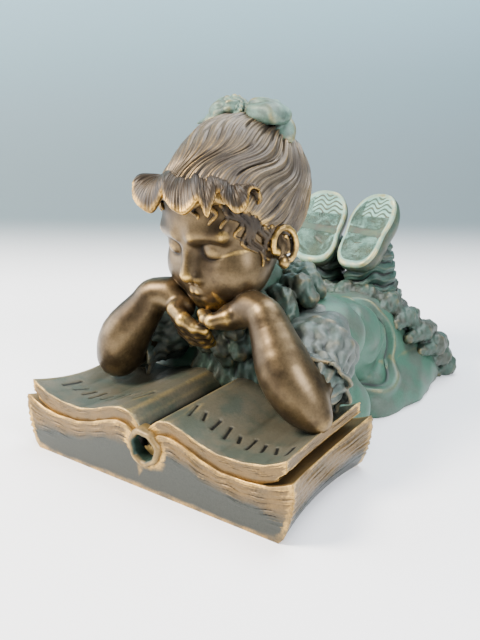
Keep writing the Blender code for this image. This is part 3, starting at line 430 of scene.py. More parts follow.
def patina(name, base, second, deep, worn_and_highlight, metal, rough, grain, depth, patch, wear_and_highlight, patchy=1.0):
    """Bronze powder resin: a base tone with patches of a second one, dark in the hollows and burnished
    back to bright metal where it stands proud, which on the bare skin is also a painted highlight.

    grain and patch are the sizes of the specks and of the patches, and depth the height of the specks,
    all in millimetres. wear and patchy are how strong the rubbing, with the skin's painted highlight,
    and the patches are.
    """
    material = bpy.data.materials.new(name)
    material.use_nodes = True
    tree = material.node_tree
    shader = tree.nodes["Principled BSDF"]
    coords = add_node(tree, "ShaderNodeTexCoord").outputs["Object"]

    def noise(size, detail, roughness=0.55):
        return add_node(
            tree,
            "ShaderNodeTexNoise",
            inputs={"Scale": per_mm(size), "Detail": detail, "Roughness": roughness},
            links={"Vector": coords},
        ).outputs["Fac"]

    def ranged(source, low, high, to_low=0.0, to_high=1.0):
        return add_node(
            tree,
            "ShaderNodeMapRange",
            settings={"interpolation_type": "SMOOTHSTEP"},
            inputs={"From Min": low, "From Max": high, "To Min": to_low, "To Max": to_high},
            links={"Value": source},
        ).outputs["Result"]

    def joined(operation, first, second):
        node = add_node(tree, "ShaderNodeMath", settings={"operation": operation, "use_clamp": True})
        for socket, value in zip(node.inputs, (first, second)):
            if isinstance(value, float):
                socket.default_value = value
            else:
                tree.links.new(value, socket)
        return node.outputs["Value"]

    def blended(share, first, second):
        node = add_node(tree, "ShaderNodeMix", settings={"data_type": "RGBA"})
        for socket, value in zip((node.inputs[6], node.inputs[7]), (first, second)):
            if isinstance(value, tuple):
                socket.default_value = value
            else:
                tree.links.new(value, socket)
        tree.links.new(share, node.inputs[0])
        return node.outputs[2]

    def stored(value_name):
        return add_node(
            tree, "ShaderNodeAttribute", settings={"attribute_name": value_name}
        ).outputs["Fac"]

    patches = joined("ADD", ranged(noise(patch, 4.0), 0.42, 0.62, 0.0, patchy), stored("tone"))
    speckle = noise(2.6 * grain, 6.0, 0.7)
    fine = noise(grain, 3.0, 0.6)
    hollow = ranged(joined("ADD", stored("hollow"), joined("MULTIPLY", speckle, 0.12)), 0.12, 0.85)
    proud = joined("MAXIMUM", stored("worn_and_highlight"), stored("rim"))
    # Burnished gold where the surface stands proud. On the bare skin it is also a painted highlight
    rubbed_and_highlight = joined("MULTIPLY", ranged(speckle, 0.30, 0.62, 0.35, 1.0), ranged(proud, 0.30, 0.95))
    rubbed_and_highlight = joined("MULTIPLY", rubbed_and_highlight, ranged(noise(0.7 * patch, 3.0), 0.40, 0.58, 0.3 * wear_and_highlight, wear_and_highlight))
    tone = blended(patches, hex_colour(base), hex_colour(second))
    shade = add_node(
        tree,
        "ShaderNodeMix",
        settings={"data_type": "RGBA", "blend_type": "MULTIPLY"},
        inputs={0: 0.55},
        links={6: tone},
    )
    grey = add_node(
        tree,
        "ShaderNodeCombineColor",
        links={channel: ranged(speckle, 0.25, 0.70, 0.55, 1.15) for channel in ("Red", "Green", "Blue")},
    )
    tree.links.new(grey.outputs["Color"], shade.inputs[7])
    tone = blended(hollow, shade.outputs[2], hex_colour(deep))
    tone = blended(rubbed_and_highlight, tone, hex_colour(worn_and_highlight))
    tree.links.new(tone, shader.inputs["Base Color"])
    metallic = ranged(rubbed_and_highlight, 0.0, 1.0, metal, WORN_AND_HIGHLIGHT_METAL)
    tree.links.new(metallic, shader.inputs["Metallic"])
    roughness = ranged(rubbed_and_highlight, 0.0, 1.0, rough, WORN_AND_HIGHLIGHT_ROUGH)
    roughness = joined("ADD", roughness, joined("MULTIPLY", speckle, 0.12))
    tree.links.new(roughness, shader.inputs["Roughness"])
    height = joined("ADD", joined("MULTIPLY", fine, 0.6), joined("MULTIPLY", speckle, 0.4))
    bump = add_node(
        tree,
        "ShaderNodeBump",
        inputs={"Strength": 0.6, "Distance": depth * MM},
        links={"Height": height},
    )
    tree.links.new(bump.outputs["Normal"], shader.inputs["Normal"])
    return material


# Hand-burnished bronze powder: soft gold on brown, partly burnished metal and partly a painted highlight
# over cheeks, nose and forearms
BARE_BRONZE_AND_PAINTED_HIGHLIGHT = patina(
    "bronze_resin_burnished_skin_and_painted_highlight", "#62523a", "#433727", "#17110b", "#dfb664",
    metal=0.88, rough=0.32, grain=1.0, depth=0.04, patch=42.0, wear_and_highlight=1.0,
)
# Brown stain brushed over the combed locks: dull, dark between the strands
HAIR_BRONZE = patina(
    "bronze_resin_brushed_hair", "#5a4f3f", "#473f35", "#0e0a07", "#c09c5a",
    metal=0.55, rough=0.40, grain=0.8, depth=0.12, patch=26.0, wear_and_highlight=0.7,
)
# The same stain rubbed through at the edges: dark rolls with gold rims
FRINGE_BRONZE = patina(
    "bronze_resin_rubbed_fringe", "#3a3023", "#2b241c", "#0a0805", "#dcae58",
    metal=0.62, rough=0.38, grain=0.8, depth=0.12, patch=24.0, wear_and_highlight=1.0,
)
# Sponged verdigris: pale grey-green with dark creases
BOW_PATINA = patina(
    "bronze_resin_verdigris_bow", "#567062", "#44564b", "#172019", "#a08c58",
    metal=0.28, rough=0.48, grain=0.9, depth=0.10, patch=16.0, wear_and_highlight=0.7,
)
# Brushed verdigris over brown: a satin deep green in soft patches
CLOTH_PATINA = patina(
    "bronze_resin_verdigris_cloth", "#3a5f4d", "#475549", "#101d17", "#94824f",
    metal=0.28, rough=0.47, grain=1.1, depth=0.14, patch=44.0, wear_and_highlight=0.55,
)
# Thin verdigris on brown: a grey, slightly rough cloth
SLEEVE_PATINA = patina(
    "bronze_resin_grey_sleeve", "#525852", "#425049", "#121915", "#927c4e",
    metal=0.32, rough=0.46, grain=1.0, depth=0.16, patch=26.0, wear_and_highlight=0.5,
)
# Verdigris left thick in the pleats: dark grey-green
TRIM_PATINA = patina(
    "bronze_resin_verdigris_trim", "#384c41", "#3d4238", "#0b110d", "#8f7846",
    metal=0.32, rough=0.46, grain=1.0, depth=0.16, patch=22.0, wear_and_highlight=0.5,
)
# Unrubbed verdigris: the darkest green, matt
SOCK_PATINA = patina(
    "bronze_resin_dark_sock", "#2f4a3f", "#373f38", "#0a100d", "#6c6846",
    metal=0.30, rough=0.48, grain=1.0, depth=0.18, patch=22.0, wear_and_highlight=0.35,
)
# Pale verdigris on a flat cast face: chalky aqua with worn edges
SOLE_PATINA = patina(
    "bronze_resin_verdigris_sole", "#76a090", "#618a7c", "#20392f", "#b8a468",
    metal=0.20, rough=0.50, grain=1.0, depth=0.12, patch=26.0, wear_and_highlight=0.8,
)
# Brown-green stain on a sandy cast face: grainy with gold specks
PAGE_PATINA = patina(
    "bronze_resin_grained_page", "#5a5646", "#464c40", "#12120d", "#b09a64",
    metal=0.45, rough=0.38, grain=1.0, depth=0.9, patch=34.0, wear_and_highlight=1.0,
)
# Gold rubbed onto the cut leaves, plain grey stain below them
LEAF_PATINA = patina(
    "bronze_resin_cut_leaves", "#6e5733", "#393c37", "#0f0c07", "#d4aa5e",
    metal=0.52, rough=0.38, grain=0.8, depth=0.35, patch=30.0, wear_and_highlight=1.0, patchy=0.3,
)
# The rolled spine: gold outside, green in its hole
RING_PATINA = patina(
    "bronze_resin_spine_ring", "#776038", "#24382f", "#0a120e", "#bd9c5c",
    metal=0.45, rough=0.42, grain=0.8, depth=0.20, patch=14.0, wear_and_highlight=0.9, patchy=0.2,
)


# The head: x to the child's left, forward out of the face, up to the crown

HEAD_CENTRE = (0.0, 16.8, 26.8)
HEAD_NOD, HEAD_YAW = 17.0, -9.0  # degrees: down to the book, and to the child's right
HEAD_TURN = np.array(Euler((math.radians(HEAD_NOD), 0, math.radians(HEAD_YAW))).to_matrix())
BOW_KNOT = (0.0, -5.0, 9.7)
EYE_OUT, EYE_UP = 2.8, -0.7
NOSE_BASE_UP = -4.0
MOUTH_UP = -5.8


def head_points(x, forward, up):
    """Points given in the head's own directions, in modules, as metres."""
    x, forward, up = np.broadcast_arrays(x, forward, up)
    local = np.stack([x, -forward, up], axis=-1)
    return (local @ HEAD_TURN.T + HEAD_CENTRE - (0.0, ORIGIN_BACK, 0.0)) * MODULE


def in_head(points):
    """The head's own x, forward and up of points in metres, in modules."""
    local = (points - place(*HEAD_CENTRE)) / MODULE @ HEAD_TURN
    return local[:, 0], -local[:, 1], local[:, 2]


def head_egg(x, forward, up, radii, lean=0.0):
    """An egg whose radii run sideways, forward and up in the head's directions."""
    return Egg(head_points(x, forward, up), radii, (HEAD_NOD, lean, HEAD_YAW))


def head_limb(start, end, start_radius, end_radius):
    return Limb(head_points(*start), head_points(*end), start_radius, end_radius)


def skull_masses():
    def cheek(side):
        return [head_egg(3.6 * side, 4.6, -4.2, (2.9, 2.9, 3.0))]

    return [
        head_egg(0, -1.6, 2.6, (7.0, 8.5, 8.0)),
        head_egg(0, 2.2, 1.6, (6.5, 5.9, 5.8)),
        head_egg(0, 2.4, -3.2, (6.0, 5.6, 5.2)),
        *both_sides(cheek),
        head_egg(0, 5.8, -5.4, (2.7, 2.1, 2.3)),
        head_egg(0, 6.1, -7.7, (1.9, 1.6, 1.4)),
    ]


def brow_masses():
    def brow(side):
        inner, outer = (1.3 * side, 7.4, EYE_UP + 1.9), (4.3 * side, 6.4, EYE_UP + 1.8)
        return [head_limb(inner, outer, 0.8, 0.7)]

    return both_sides(brow)


def socket_cutters():
    def socket(side):
        return [head_egg(EYE_OUT * side, 8.5, EYE_UP - 0.1, (1.9, 1.3, 1.2))]

    return both_sides(socket)


def nose_masses():
    def wing(side):
        return [head_egg(0.85 * side, 8.0, NOSE_BASE_UP + 0.35, (0.65, 0.75, 0.6))]

    bridge, tip = (0, 7.2, EYE_UP + 0.7), (0, 8.6, NOSE_BASE_UP + 0.9)
    return [head_limb(bridge, tip, 0.65, 0.95), *both_sides(wing)]


def nostril_cutters():
    def nostril(side):
        return [head_egg(0.55 * side, 8.55, NOSE_BASE_UP - 0.25, (0.24, 0.36, 0.34))]

    return both_sides(nostril)


def lip_masses():
    def upper(side):
        corner, bow = (1.35 * side, 7.3, MOUTH_UP + 0.05), (0.35 * side, 8.1, MOUTH_UP + 0.38)
        return [head_limb(corner, bow, 0.28, 0.42)]

    lower = head_limb((0.75, 7.7, MOUTH_UP - 0.5), (-0.75, 7.7, MOUTH_UP - 0.5), 0.45, 0.45)
    return [*both_sides(upper), lower]


def lid_depth(points, side):
    """An eyeball under a lowered upper lid and a soft lower one."""
    centre = head_points(EYE_OUT * side, 5.9, EYE_UP)
    gap = np.linalg.norm(points - centre, axis=1) / MODULE
    x, _, up = in_head(points)
    lid_edge = EYE_UP - 0.75 + 0.12 * (np.abs(x) - EYE_OUT) ** 2
    ball = gap - 1.50
    upper = np.maximum(gap - 1.68, (lid_edge - up) * 0.9)
    lower = np.maximum(gap - 1.62, (up - lid_edge + 0.30) * 0.9)
    return np.minimum(ball, np.minimum(upper, lower)) * MODULE


HAIRLINE_FORWARD = (-12.0, -3.0, -0.6, 0.8, 2.2, 3.4, 5.0, 6.6, 12.0)
HAIRLINE_UP = (-5.4, -5.2, -4.2, -2.0, -0.6, 1.0, 3.0, 4.6, 5.2)


def hair_masses():
    return [
        head_egg(0, -1.7, 2.6, (7.4, 8.8, 8.4)),
        head_egg(0, 2.2, 2.4, (6.8, 6.3, 6.0)),
    ]


def above_hairline(forward, up):
    """How far points of the head lie above the edge of the hair, in modules."""
    return up - np.interp(forward, HAIRLINE_FORWARD, HAIRLINE_UP)


def ear_masses(side):
    """An ear: its plate, lobe and front flap, and its rim and inner fold."""
    x, forward, up = 6.45 * side, 0.5, -2.4
    rim = []
    for n in range(13):
        turn = math.radians(-75 + 22 * n)
        stand = x + side * (0.85 + 0.45 * math.cos(turn))
        rim.append(
            head_points(stand, forward - 1.35 * math.cos(turn), up + 0.2 + 1.95 * math.sin(turn))
        )
    fold = []
    for n in range(7):
        turn = math.radians(-60 + 20 * n)
        fold.append(
            head_points(
                x + 0.8 * side,
                forward - 0.1 - 0.62 * math.cos(turn),
                up + 0.1 + 1.05 * math.sin(turn),
            )
        )
    plate = head_egg(x + 0.1 * side, forward, up + 0.1, (0.70, 1.2, 1.8))
    lobe = head_egg(x + 0.6 * side, forward + 0.3, up - 1.8, (0.55, 0.7, 0.75))
    flap = head_egg(x + 0.5 * side, forward + 1.0, up - 0.2, (0.40, 0.32, 0.55))
    return [plate, lobe, flap], [*chain(rim, [0.36] * len(rim)), *chain(fold, [0.24] * len(fold))]


def head_depth(points):
    depth = depth_of(skull_masses(), SKULL_SOFT, points)
    depth = soft_union(depth, depth_of(brow_masses(), 0.6, points), 1.2)
    depth = soft_cut(depth, depth_of(socket_cutters(), 0.4, points), 1.2)
    for side in (1, -1):
        depth = soft_union(depth, lid_depth(points, side), 0.25)
    depth = soft_union(depth, depth_of(nose_masses(), 0.5, points), 0.7)
    depth = soft_cut(depth, depth_of(nostril_cutters(), 0.1, points), 0.15)
    depth = soft_union(depth, depth_of(lip_masses(), 0.12, points), 0.45)
    for side in (1, -1):
        shell, rims = ear_masses(side)
        ear = soft_union(depth_of(shell, 0.35, points), depth_of(rims, 0.03, points), 0.25)
        depth = soft_union(depth, ear, 0.4)
    return depth


# The arms and the hands that hold the chin

# The child leans more on the left elbow, whose point turns outwards
ELBOWS = {1: (13.2, 9.9, 10.0), -1: (-12.2, 9.7, 9.9)}
ELBOW_POINTS = {1: (15.0, 9.8, 8.4), -1: (-12.7, 9.6, 9.0)}
WRIST = (7.6, 11.2, 17.8)
FOREARM_RADII, FOREARM_LIMBS = (1.6, 2.75, 2.95, 2.2, 1.85, 1.75), 18


def arm_masses(side):
    upper = place(11.8 * side, 15.4, 11.4)
    point, elbow = place(*ELBOW_POINTS[side]), place(*ELBOWS[side])
    flesh = place(11.1 * side, 9.9, 12.7)
    narrow = place((WRIST[0] + 1.1) * side, WRIST[1] - 0.3, WRIST[2] - 1.6)
    wrist = place(WRIST[0] * side, WRIST[1], WRIST[2])
    palm = place((WRIST[0] - 1.9) * side, WRIST[1] + 0.6, WRIST[2] + 0.3)
    return [
        *chain((upper, elbow), (3.0, 2.6)),
        *smooth_chain((point, elbow, flesh, narrow, wrist, palm), FOREARM_RADII, FOREARM_LIMBS),
    ]


def palm_masses(side):
    heel = place(5.4 * side, 12.0, 17.8)
    knuckles = place(3.4 * side, 11.2, 16.9)
    return [Limb(heel, knuckles, 1.7, 1.5)]


def finger_joints(side, n):
    """Root, two knuckles and tip of one of a hand's four fingers, in modules."""
    if side > 0:
        return (
            (3.6, 10.2 + 0.95 * n, 17.0 - 0.35 * n),
            (2.0, 9.7 + 0.95 * n, 16.5 - 0.3 * n),
            (0.9, 9.9 + 0.9 * n, 16.5 - 0.3 * n),
            (0.0, 10.4 + 0.9 * n, 16.9 - 0.3 * n),
        )
    return (
        (-3.4, 9.9 + 0.6 * n, 16.9 - 0.95 * n),
        (-1.6, 9.1 + 0.7 * n, 16.2 - 0.9 * n),
        (-0.2, 9.3 + 0.75 * n, 15.5 - 0.8 * n),
        (0.9 - 0.3 * n, 9.8 + 0.8 * n, 15.2 - 0.75 * n),
    )


def finger_masses(side):
    """The right hand's fingers lie over the left hand's, under the chin."""
    fingers = []
    for n in range(4):
        joints = [place(*joint) for joint in finger_joints(side, n)]
        fingers += chain(joints, (0.95, 0.86, 0.72, 0.55))
    return fingers


def skin_depth(points):
    """The head, the forearms and the hands."""
    depth = head_depth(points)
    for side in (1, -1):
        arm = depth_of(arm_masses(side), 0.25, points)
        arm = soft_union(arm, depth_of(palm_masses(side), 0.6, points), 1.2)
        arm = soft_union(arm, depth_of(finger_masses(side), 0.2, points), 0.6)
        depth = soft_union(depth, arm, 0.15)
    return depth


def make_skin():
    masses = [
        *skull_masses(), *nose_masses(), *lip_masses(),
        *(mass for side in (1, -1) for group in ear_masses(side) for mass in group),
        *both_sides(arm_masses), *both_sides(palm_masses), *both_sides(finger_masses),
    ]
    skin = settled_skin(masses, skin_depth, SKIN_VOXEL)
    return make_piece("bare_skin", [(skin, BARE_BRONZE_AND_PAINTED_HIGHLIGHT, 0.16)])


# The hair: a combed cap, a ruffled fringe and loose curls at the temples

COMB_END = (0.5, -9.0, 6.5)  # where the combed hair meets, behind the bow
CAP_CENTRE = np.array((0.0, -1.2, 2.2))
CAP_TILT = 2.45  # radians from the comb's end round to the end of the cap, inside the face
CAP_END = 0.94
CAP_SOLVES = 26


def cap_directions(tilt, turn):
    """Unit directions in the head from an angle off the comb's end and one round it."""
    axis = np.array(COMB_END) - CAP_CENTRE
    axis /= np.linalg.norm(axis)
    lean = np.array((0.0, axis[2], -axis[1]))
    side = np.array((1.0, 0.0, 0.0))
    ring = np.cos(turn)[:, None] * lean + np.sin(turn)[:, None] * side
    return np.cos(tilt)[:, None] * axis + np.sin(tilt)[:, None] * ring


def lock_relief(turn, tilt):
    """Combed locks: broad ones, narrower ones on them, strands, and dark slits that come
    and go between them."""
    wander = 0.9 * np.sin(2 * turn + 1.3) + 0.5 * np.sin(5 * turn + 2 * tilt)
    wander += 0.35 * np.sin(9 * turn - 1.7 * tilt)
    broad = ridge(21 * turn + 1.4 * wander)
    narrow = ridge(53 * turn + 3.2 * wander + 2.2 * np.sin(2.6 * tilt + turn), 4)
    strand = ridge(137 * turn + 5 * wander + 1.5 * np.sin(5 * tilt + 3 * turn), 2)
    deeper = 0.5 + 0.5 * np.sin(3 * turn + 2.6 * tilt + 0.7)
    finer_here = 0.5 + 0.5 * np.sin(5 * turn - 3.1 * tilt)
    slit = 0.0
    for count, phase, wide in ((13, 0.0, 0.075), (17, 2.1, 0.055)):
        line = np.sin((count * turn + 1.4 * wander + phase + 0.5 * tilt) / 2) / wide
        here = np.clip(1.6 * np.sin(7 * turn + 5.1 * tilt + wander + phase), 0, 1)
        slit = slit + np.exp(-(line**2)) * here
    relief = 0.07 * (0.5 + deeper) * broad + 0.10 * (0.3 + finer_here) * narrow + 0.05 * strand
    return relief - 0.36 * slit


def make_cap():
    """Hair combed back from the face and up from the neck to behind the bow."""
    bm = bmesh.new()
    bmesh.ops.create_uvsphere(bm, u_segments=finer(720), v_segments=finer(96), radius=1.0)
    mesh = bpy.data.meshes.new("cap")
    bm.to_mesh(mesh)
    bm.free()
    ball = mesh_points(mesh)
    share = np.arccos(np.clip(ball[:, 2], -1, 1)) / math.pi
    comb = np.arctan2(ball[:, 1], ball[:, 0])
    tilt = CAP_TILT * np.minimum(share / CAP_END, 1.0)
    swing = 0.11 * np.sin(3.1 * tilt + 1.7 * np.sin(2 * comb)) + 0.05 * np.sin(6.5 * tilt + 3 * comb)
    turn = comb - swing * np.clip(2 * tilt, 0, 1)
    direction = cap_directions(tilt, turn)
    masses = hair_masses()
    low, high = np.zeros(len(ball)), np.full(len(ball), 16.0)
    for _ in range(CAP_SOLVES):
        reach = (low + high) / 2
        local = CAP_CENTRE + direction * reach[:, None]
        outside = depth_of(masses, SKULL_SOFT, head_points(*local.T)) > 0
        high = np.where(outside, reach, high)
        low = np.where(outside, low, reach)
    local = CAP_CENTRE + direction * low[:, None]
    above = above_hairline(local[:, 1], local[:, 2])
    edge = np.clip(above / 0.8, -1.0, 1.0)
    fade = np.clip((tilt - 0.10) / 0.3, 0.15, 1.0)
    relief = lock_relief(comb, tilt) * fade * np.clip(above, 0.0, 1.0)
    sink = np.where(edge < 0, 1.4 * edge, 0.0) - 0.35 * (1 - np.maximum(edge, 0.0)) ** 2
    closing = 1 - np.clip((share - CAP_END) / (1 - CAP_END), 0.0, 1.0) * 0.98
    reach = (low + relief + sink) * closing
    set_mesh_points(mesh, head_points(*(CAP_CENTRE + direction * reach[:, None]).T))
    return mesh


FRINGE_ROOT = (
    (-6.4, 1.6, 3.4), (-6.1, 3.2, 4.8), (-5.0, 4.4, 6.1), (-3.4, 4.8, 6.9), (-1.4, 4.9, 7.1),
    (0.8, 4.9, 7.2), (2.6, 4.7, 6.8), (4.2, 4.2, 6.1), (5.5, 3.6, 5.1), (6.2, 2.8, 4.0),
)
FRINGE_EDGE = (
    (-7.0, 1.8, 1.6), (-7.5, 2.8, 2.8), (-7.0, 3.6, 1.8), (-6.9, 4.6, 2.4), (-7.6, 5.4, 4.4),
    (-7.4, 6.2, 6.2), (-7.2, 7.2, 6.0), (-6.5, 8.2, 5.0), (-5.1, 8.7, 4.2), (-3.6, 8.5, 3.6),
    (-2.6, 7.6, 4.9), (-1.8, 7.0, 6.2), (-0.6, 8.3, 6.4), (0.3, 9.3, 5.7), (1.3, 9.6, 4.9),
    (2.6, 9.4, 4.4), (3.4, 8.8, 4.9), (3.8, 8.0, 5.4), (4.5, 8.1, 4.9), (5.1, 8.5, 4.0),
    (4.9, 7.4, 4.9), (4.6, 6.4, 5.5), (5.4, 6.1, 5.7), (6.2, 6.6, 4.7), (6.9, 6.3, 3.7),
    (7.2, 5.3, 3.9), (6.9, 4.2, 4.8), (7.2, 3.7, 5.4), (7.6, 3.2, 5.0), (7.5, 3.0, 4.0),
    (6.8, 2.8, 3.2),
)
FRINGE_SWELL = 1.3  # how far the roll stands out between its root and its edge


def fringe_shape(across, along):
    """The fringe: it rolls up and out of the hair, then down to its free edge."""
    root, edge = smooth_track(FRINGE_ROOT, across), smooth_track(FRINGE_EDGE, across)
    out = root * (1.0, 1.0, 0.0)
    out /= np.linalg.norm(out, axis=1)[:, None]
    middle = (root + edge) / 2 + FRINGE_SWELL * (0.6 * out + (0.0, 0.0, 1.0))
    along = along[:, None]
    free = 1 - along
    return head_points(*(free**2 * root + 2 * free * along * middle + along**2 * edge).T)


def fringe_relief(across, along):
    """Soft hollows between the locks of the fringe, and fine strands on them."""
    wander = 2.0 * np.sin(9 * across) + 1.2 * np.sin(23 * across + 2 * along)
    here = 0.5 + 0.5 * np.sin(31 * across + 3 * along)
    strands = 0.13 * ridge(2 * math.pi * 9 * across + wander, 5)
    strands += 0.06 * here * ridge(2 * math.pi * 41 * across + 2.6 * wander)
    strands += 0.03 * ridge(2 * math.pi * 97 * across + 2 * wander, 2)
    return strands * np.sin(math.pi * np.clip(0.10 + 0.80 * along, 0, 1)) ** 0.7


def skull_out(start, way):
    """Points of the bare head's surface, reached from inside it along a direction."""
    start, way = np.array(start, float), np.array(way, float)
    low, high = np.zeros(len(start)), np.full(len(start), 12.0)
    for _ in range(BISECTIONS):
        reach = (low + high) / 2
        at = head_points(*(start + way * reach[:, None]).T)
        outside = depth_of(skull_masses(), SKULL_SOFT, at) > 0
        high, low = np.where(outside, reach, high), np.where(outside, low, reach)
    return start + way * low[:, None]


LOCK_STOPS = 16
# Small locks beside the ear, each a place forward and up, a length and a phase
TEMPLE_LOCKS = (
    (5.6, 4.0, 3.6, 0.0), (5.0, 3.4, 5.0, 1.4), (4.4, 3.0, 5.8, 3.1), (3.9, 2.2, 5.4, 4.4),
    (3.2, 1.4, 4.6, 0.7), (2.6, 0.6, 3.4, 2.4), (1.9, 0.2, 2.2, 5.0),
)
# Small locks under the fringe, each a place sideways and up, a length and a phase
BROW_LOCKS = (
    (-5.2, 4.6, 1.8, 0.4), (-3.6, 4.9, 1.3, 1.9), (2.2, 4.7, 1.4, 2.2), (3.9, 4.6, 2.0, 4.4),
    (4.9, 4.2, 2.6, 5.6),
)


def lock_at(start, way, thick):
    """One small wavy lock that lies on the head."""
    stops = skull_out(start, way) + 0.12 * np.array(way)
    return chain(list(head_points(*stops.T)), list(np.linspace(thick, 0.14, LOCK_STOPS)))


def small_locks():
    """Short wavy locks on the temples and on the forehead."""
    share = np.linspace(0, 1, LOCK_STOPS)
    still = np.zeros(LOCK_STOPS)
    locks = []
    for side in (1, -1):
        for forward, up, length, phase in TEMPLE_LOCKS:
            wave = 0.60 * np.sin(9 * share + phase) * (0.4 + 0.6 * share)
            start = np.stack([still, forward - 0.5 * share + wave, up - length * share], axis=1)
            locks += lock_at(start, (side, 0.0, 0.0), 0.42)
    for x, up, length, phase in BROW_LOCKS:
        wave = 0.35 * np.sin(6 * share + phase)
        start = np.stack([x + wave, still, up - length * share], axis=1)
        locks += lock_at(start, (0.0, 1.0, 0.0), 0.36)
    return locks


def make_hair():
    make_piece("combed_hair", [(make_cap(), HAIR_BRONZE, 0.20)])
    locks = small_locks()
    lock_skin = settled_skin(locks, lambda points: depth_of(locks, 0.05, points), CURL_VOXEL)
    fringe = ribbon(finer(520), finer(30), 0.50, fringe_shape, fringe_relief, 1.3)
    make_piece("fringe_and_locks", [(fringe, FRINGE_BRONZE, 0.50), (lock_skin, FRINGE_BRONZE, 0.22)])


# The hair bow

# The bow's parts: where each one lies off the knot, its radii and its lean in degrees
BOW_FORMS = (
    ((-0.3, 0.0, 0.8), (0.9, 1.4, 1.0), 0),
    ((3.2, -0.2, 0.7), (2.7, 1.9, 1.3), 14),
    ((-2.3, 0.1, 1.3), (2.4, 1.8, 1.2), -8),
    ((4.1, -0.6, -0.9), (2.0, 1.4, 0.55), 48),
    ((-4.5, 0.5, 0.5), (2.9, 1.4, 0.5), -14),
)


def bow_creases(points):
    """Creases that run out from the knot into the loops."""
    x, forward, up = in_head(points)
    x, forward = x - BOW_KNOT[0] + 0.3, forward - BOW_KNOT[1]
    spread = np.arctan2(forward, np.abs(x) + 0.5)
    rise = np.arctan2(up - BOW_KNOT[2] - 0.8, np.abs(x) + 0.5)
    creases = 0.20 * ridge(7 * spread + 6 * rise + 0.6 * np.sign(x), 4)
    creases += 0.09 * ridge(17 * spread - 9 * rise + 0.8 * np.sin(1.9 * x))
    crumple = 0.10 * np.sin(2.1 * x + 1.3 * np.sin(2.0 * forward)) * np.sin(1.7 * forward + 0.9 * up)
    return (creases + crumple) * np.clip(np.abs(x) / 1.0, 0.35, 1.0)


def make_bow():
    """The knot, a puffed loop to each side and an end below each loop."""
    forms = [head_egg(*(np.array(BOW_KNOT) + offset), radii, lean) for offset, radii, lean in BOW_FORMS]
    bow = settled_skin(forms, lambda points: depth_of(forms, 0.3, points), CURL_VOXEL)
    raise_relief(bow, bow_creases(mesh_points(bow)))
    return make_piece("hair_bow", [(bow, BOW_PATINA, 0.16)])


# The dress


def trunk_masses():
    def skirt_side(side):
        return [Limb(place(10.6 * side, 33.6, 0.8), place(11.2 * side, 48.0, 0.8), 4.2, 4.4)]

    def hip(side):
        return [Egg(place(6.4 * side, 31.0, 8.8), (5.4, 7.0, 5.4))]

    def haunch(side):
        return [
            Egg(place(5.2 * side, 39.5, 7.6), (6.6, 7.4, 6.6)),
            Limb(place(6.0 * side, 40.0, 5.5), place(8.8 * side, 50.2, 4.6), 5.4, 4.4),
        ]

    def shoulder(side):
        return [Limb(place(6.0 * side, 25.0, 12.6), place(9.2 * side, 23.0, 12.6), 4.8, 4.6)]

    return [
        Egg(place(0, 24.5, 9.4), (8.8, 7.6, 7.6)),
        Egg(place(0, 20.6, 6.4), (10.4, 5.0, 8.4)),
        Limb(place(-10.8, 21.4, 4.2), place(10.8, 21.4, 4.2), 4.9, 4.9),
        Egg(place(0, 32.5, 7.6), (9.6, 9.4, 7.0)),
        *both_sides(haunch),
        *both_sides(hip),
        *both_sides(shoulder),
        Egg(place(0, 41.0, 1.2), (16.0, 13.6, 5.4)),
        *both_sides(skirt_side),
        Limb(place(0, 20.0, 19.0), place(0, 24.0, 15.0), 3.6, 5.0),
    ]


def sleeve_masses(side):
    shoulder, puff, cuff = sleeve_line(side)
    return chain((place(*shoulder), place(*puff), place(*cuff)), (4.0, 4.2, 3.5))


def sleeve_line(side):
    """Shoulder, middle and cuff of a sleeve, in modules."""
    return (8.6 * side, 22.6, 12.9), (10.6 * side, 18.0, 12.2), (12.3 * side, 14.0, 10.7)


def sleeve_depth(points):
    return np.minimum(*(depth_of(sleeve_masses(side), SLEEVE_SOFT, points) for side in (1, -1)))


FOLD_CENTRE = (32.5, 9.2)  # back and up, in modules
FOLD_RINGS = ((4.2, 0.28, 0.55), (5.05, -0.42, 0.40), (5.85, 0.66, 0.50))  # radius, rise, width
LOBE_CENTRE, LOBE_RADIUS, LOBE_RISE = (32.0, 12.4), 4.1, 0.50


def fold_relief(points):
    """A smooth lobe on each haunch, round it a groove and a sharp fold, and soft dents."""
    x, y, z = (points / MODULE).T
    y = y + ORIGIN_BACK
    reach = np.hypot(y - FOLD_CENTRE[0], z - FOLD_CENTRE[1])
    reach = reach + 0.10 * np.sin(0.9 * z + 0.7 * x)
    folds = sum(rise * np.exp(-(((reach - ring) / wide) ** 2)) for ring, rise, wide in FOLD_RINGS)
    lobe = LOBE_RADIUS - np.hypot(y - LOBE_CENTRE[0], z - LOBE_CENTRE[1])
    folds += LOBE_RISE * np.clip(lobe / 1.2, 0, 1) + 0.22 * np.exp(-(((lobe + 1.1) / 0.4) ** 2))
    where = np.clip((np.abs(x) - 4.0) / 3.0, 0, 1) * np.clip((y - 28.5) / 3.0, 0, 1)
    where *= np.clip((47.0 - y) / 2.0, 0, 1) * np.clip(z / 2.0, 0, 1) * np.clip((15.5 - z) / 1.5, 0, 1)
    soft = 0.12 * np.sin(0.8 * x + 0.5 * y + 1.1 * np.sin(0.6 * z)) * np.sin(0.7 * y - 0.9 * z)
    lower = np.clip((6.0 - z) / 2.0, 0, 1) * np.clip((y - 30.0) / 3.0, 0, 1)
    soft += 0.16 * lower * np.sin(0.62 * y + 0.9 * z + 0.5 * x) ** 3
    return folds * where + soft


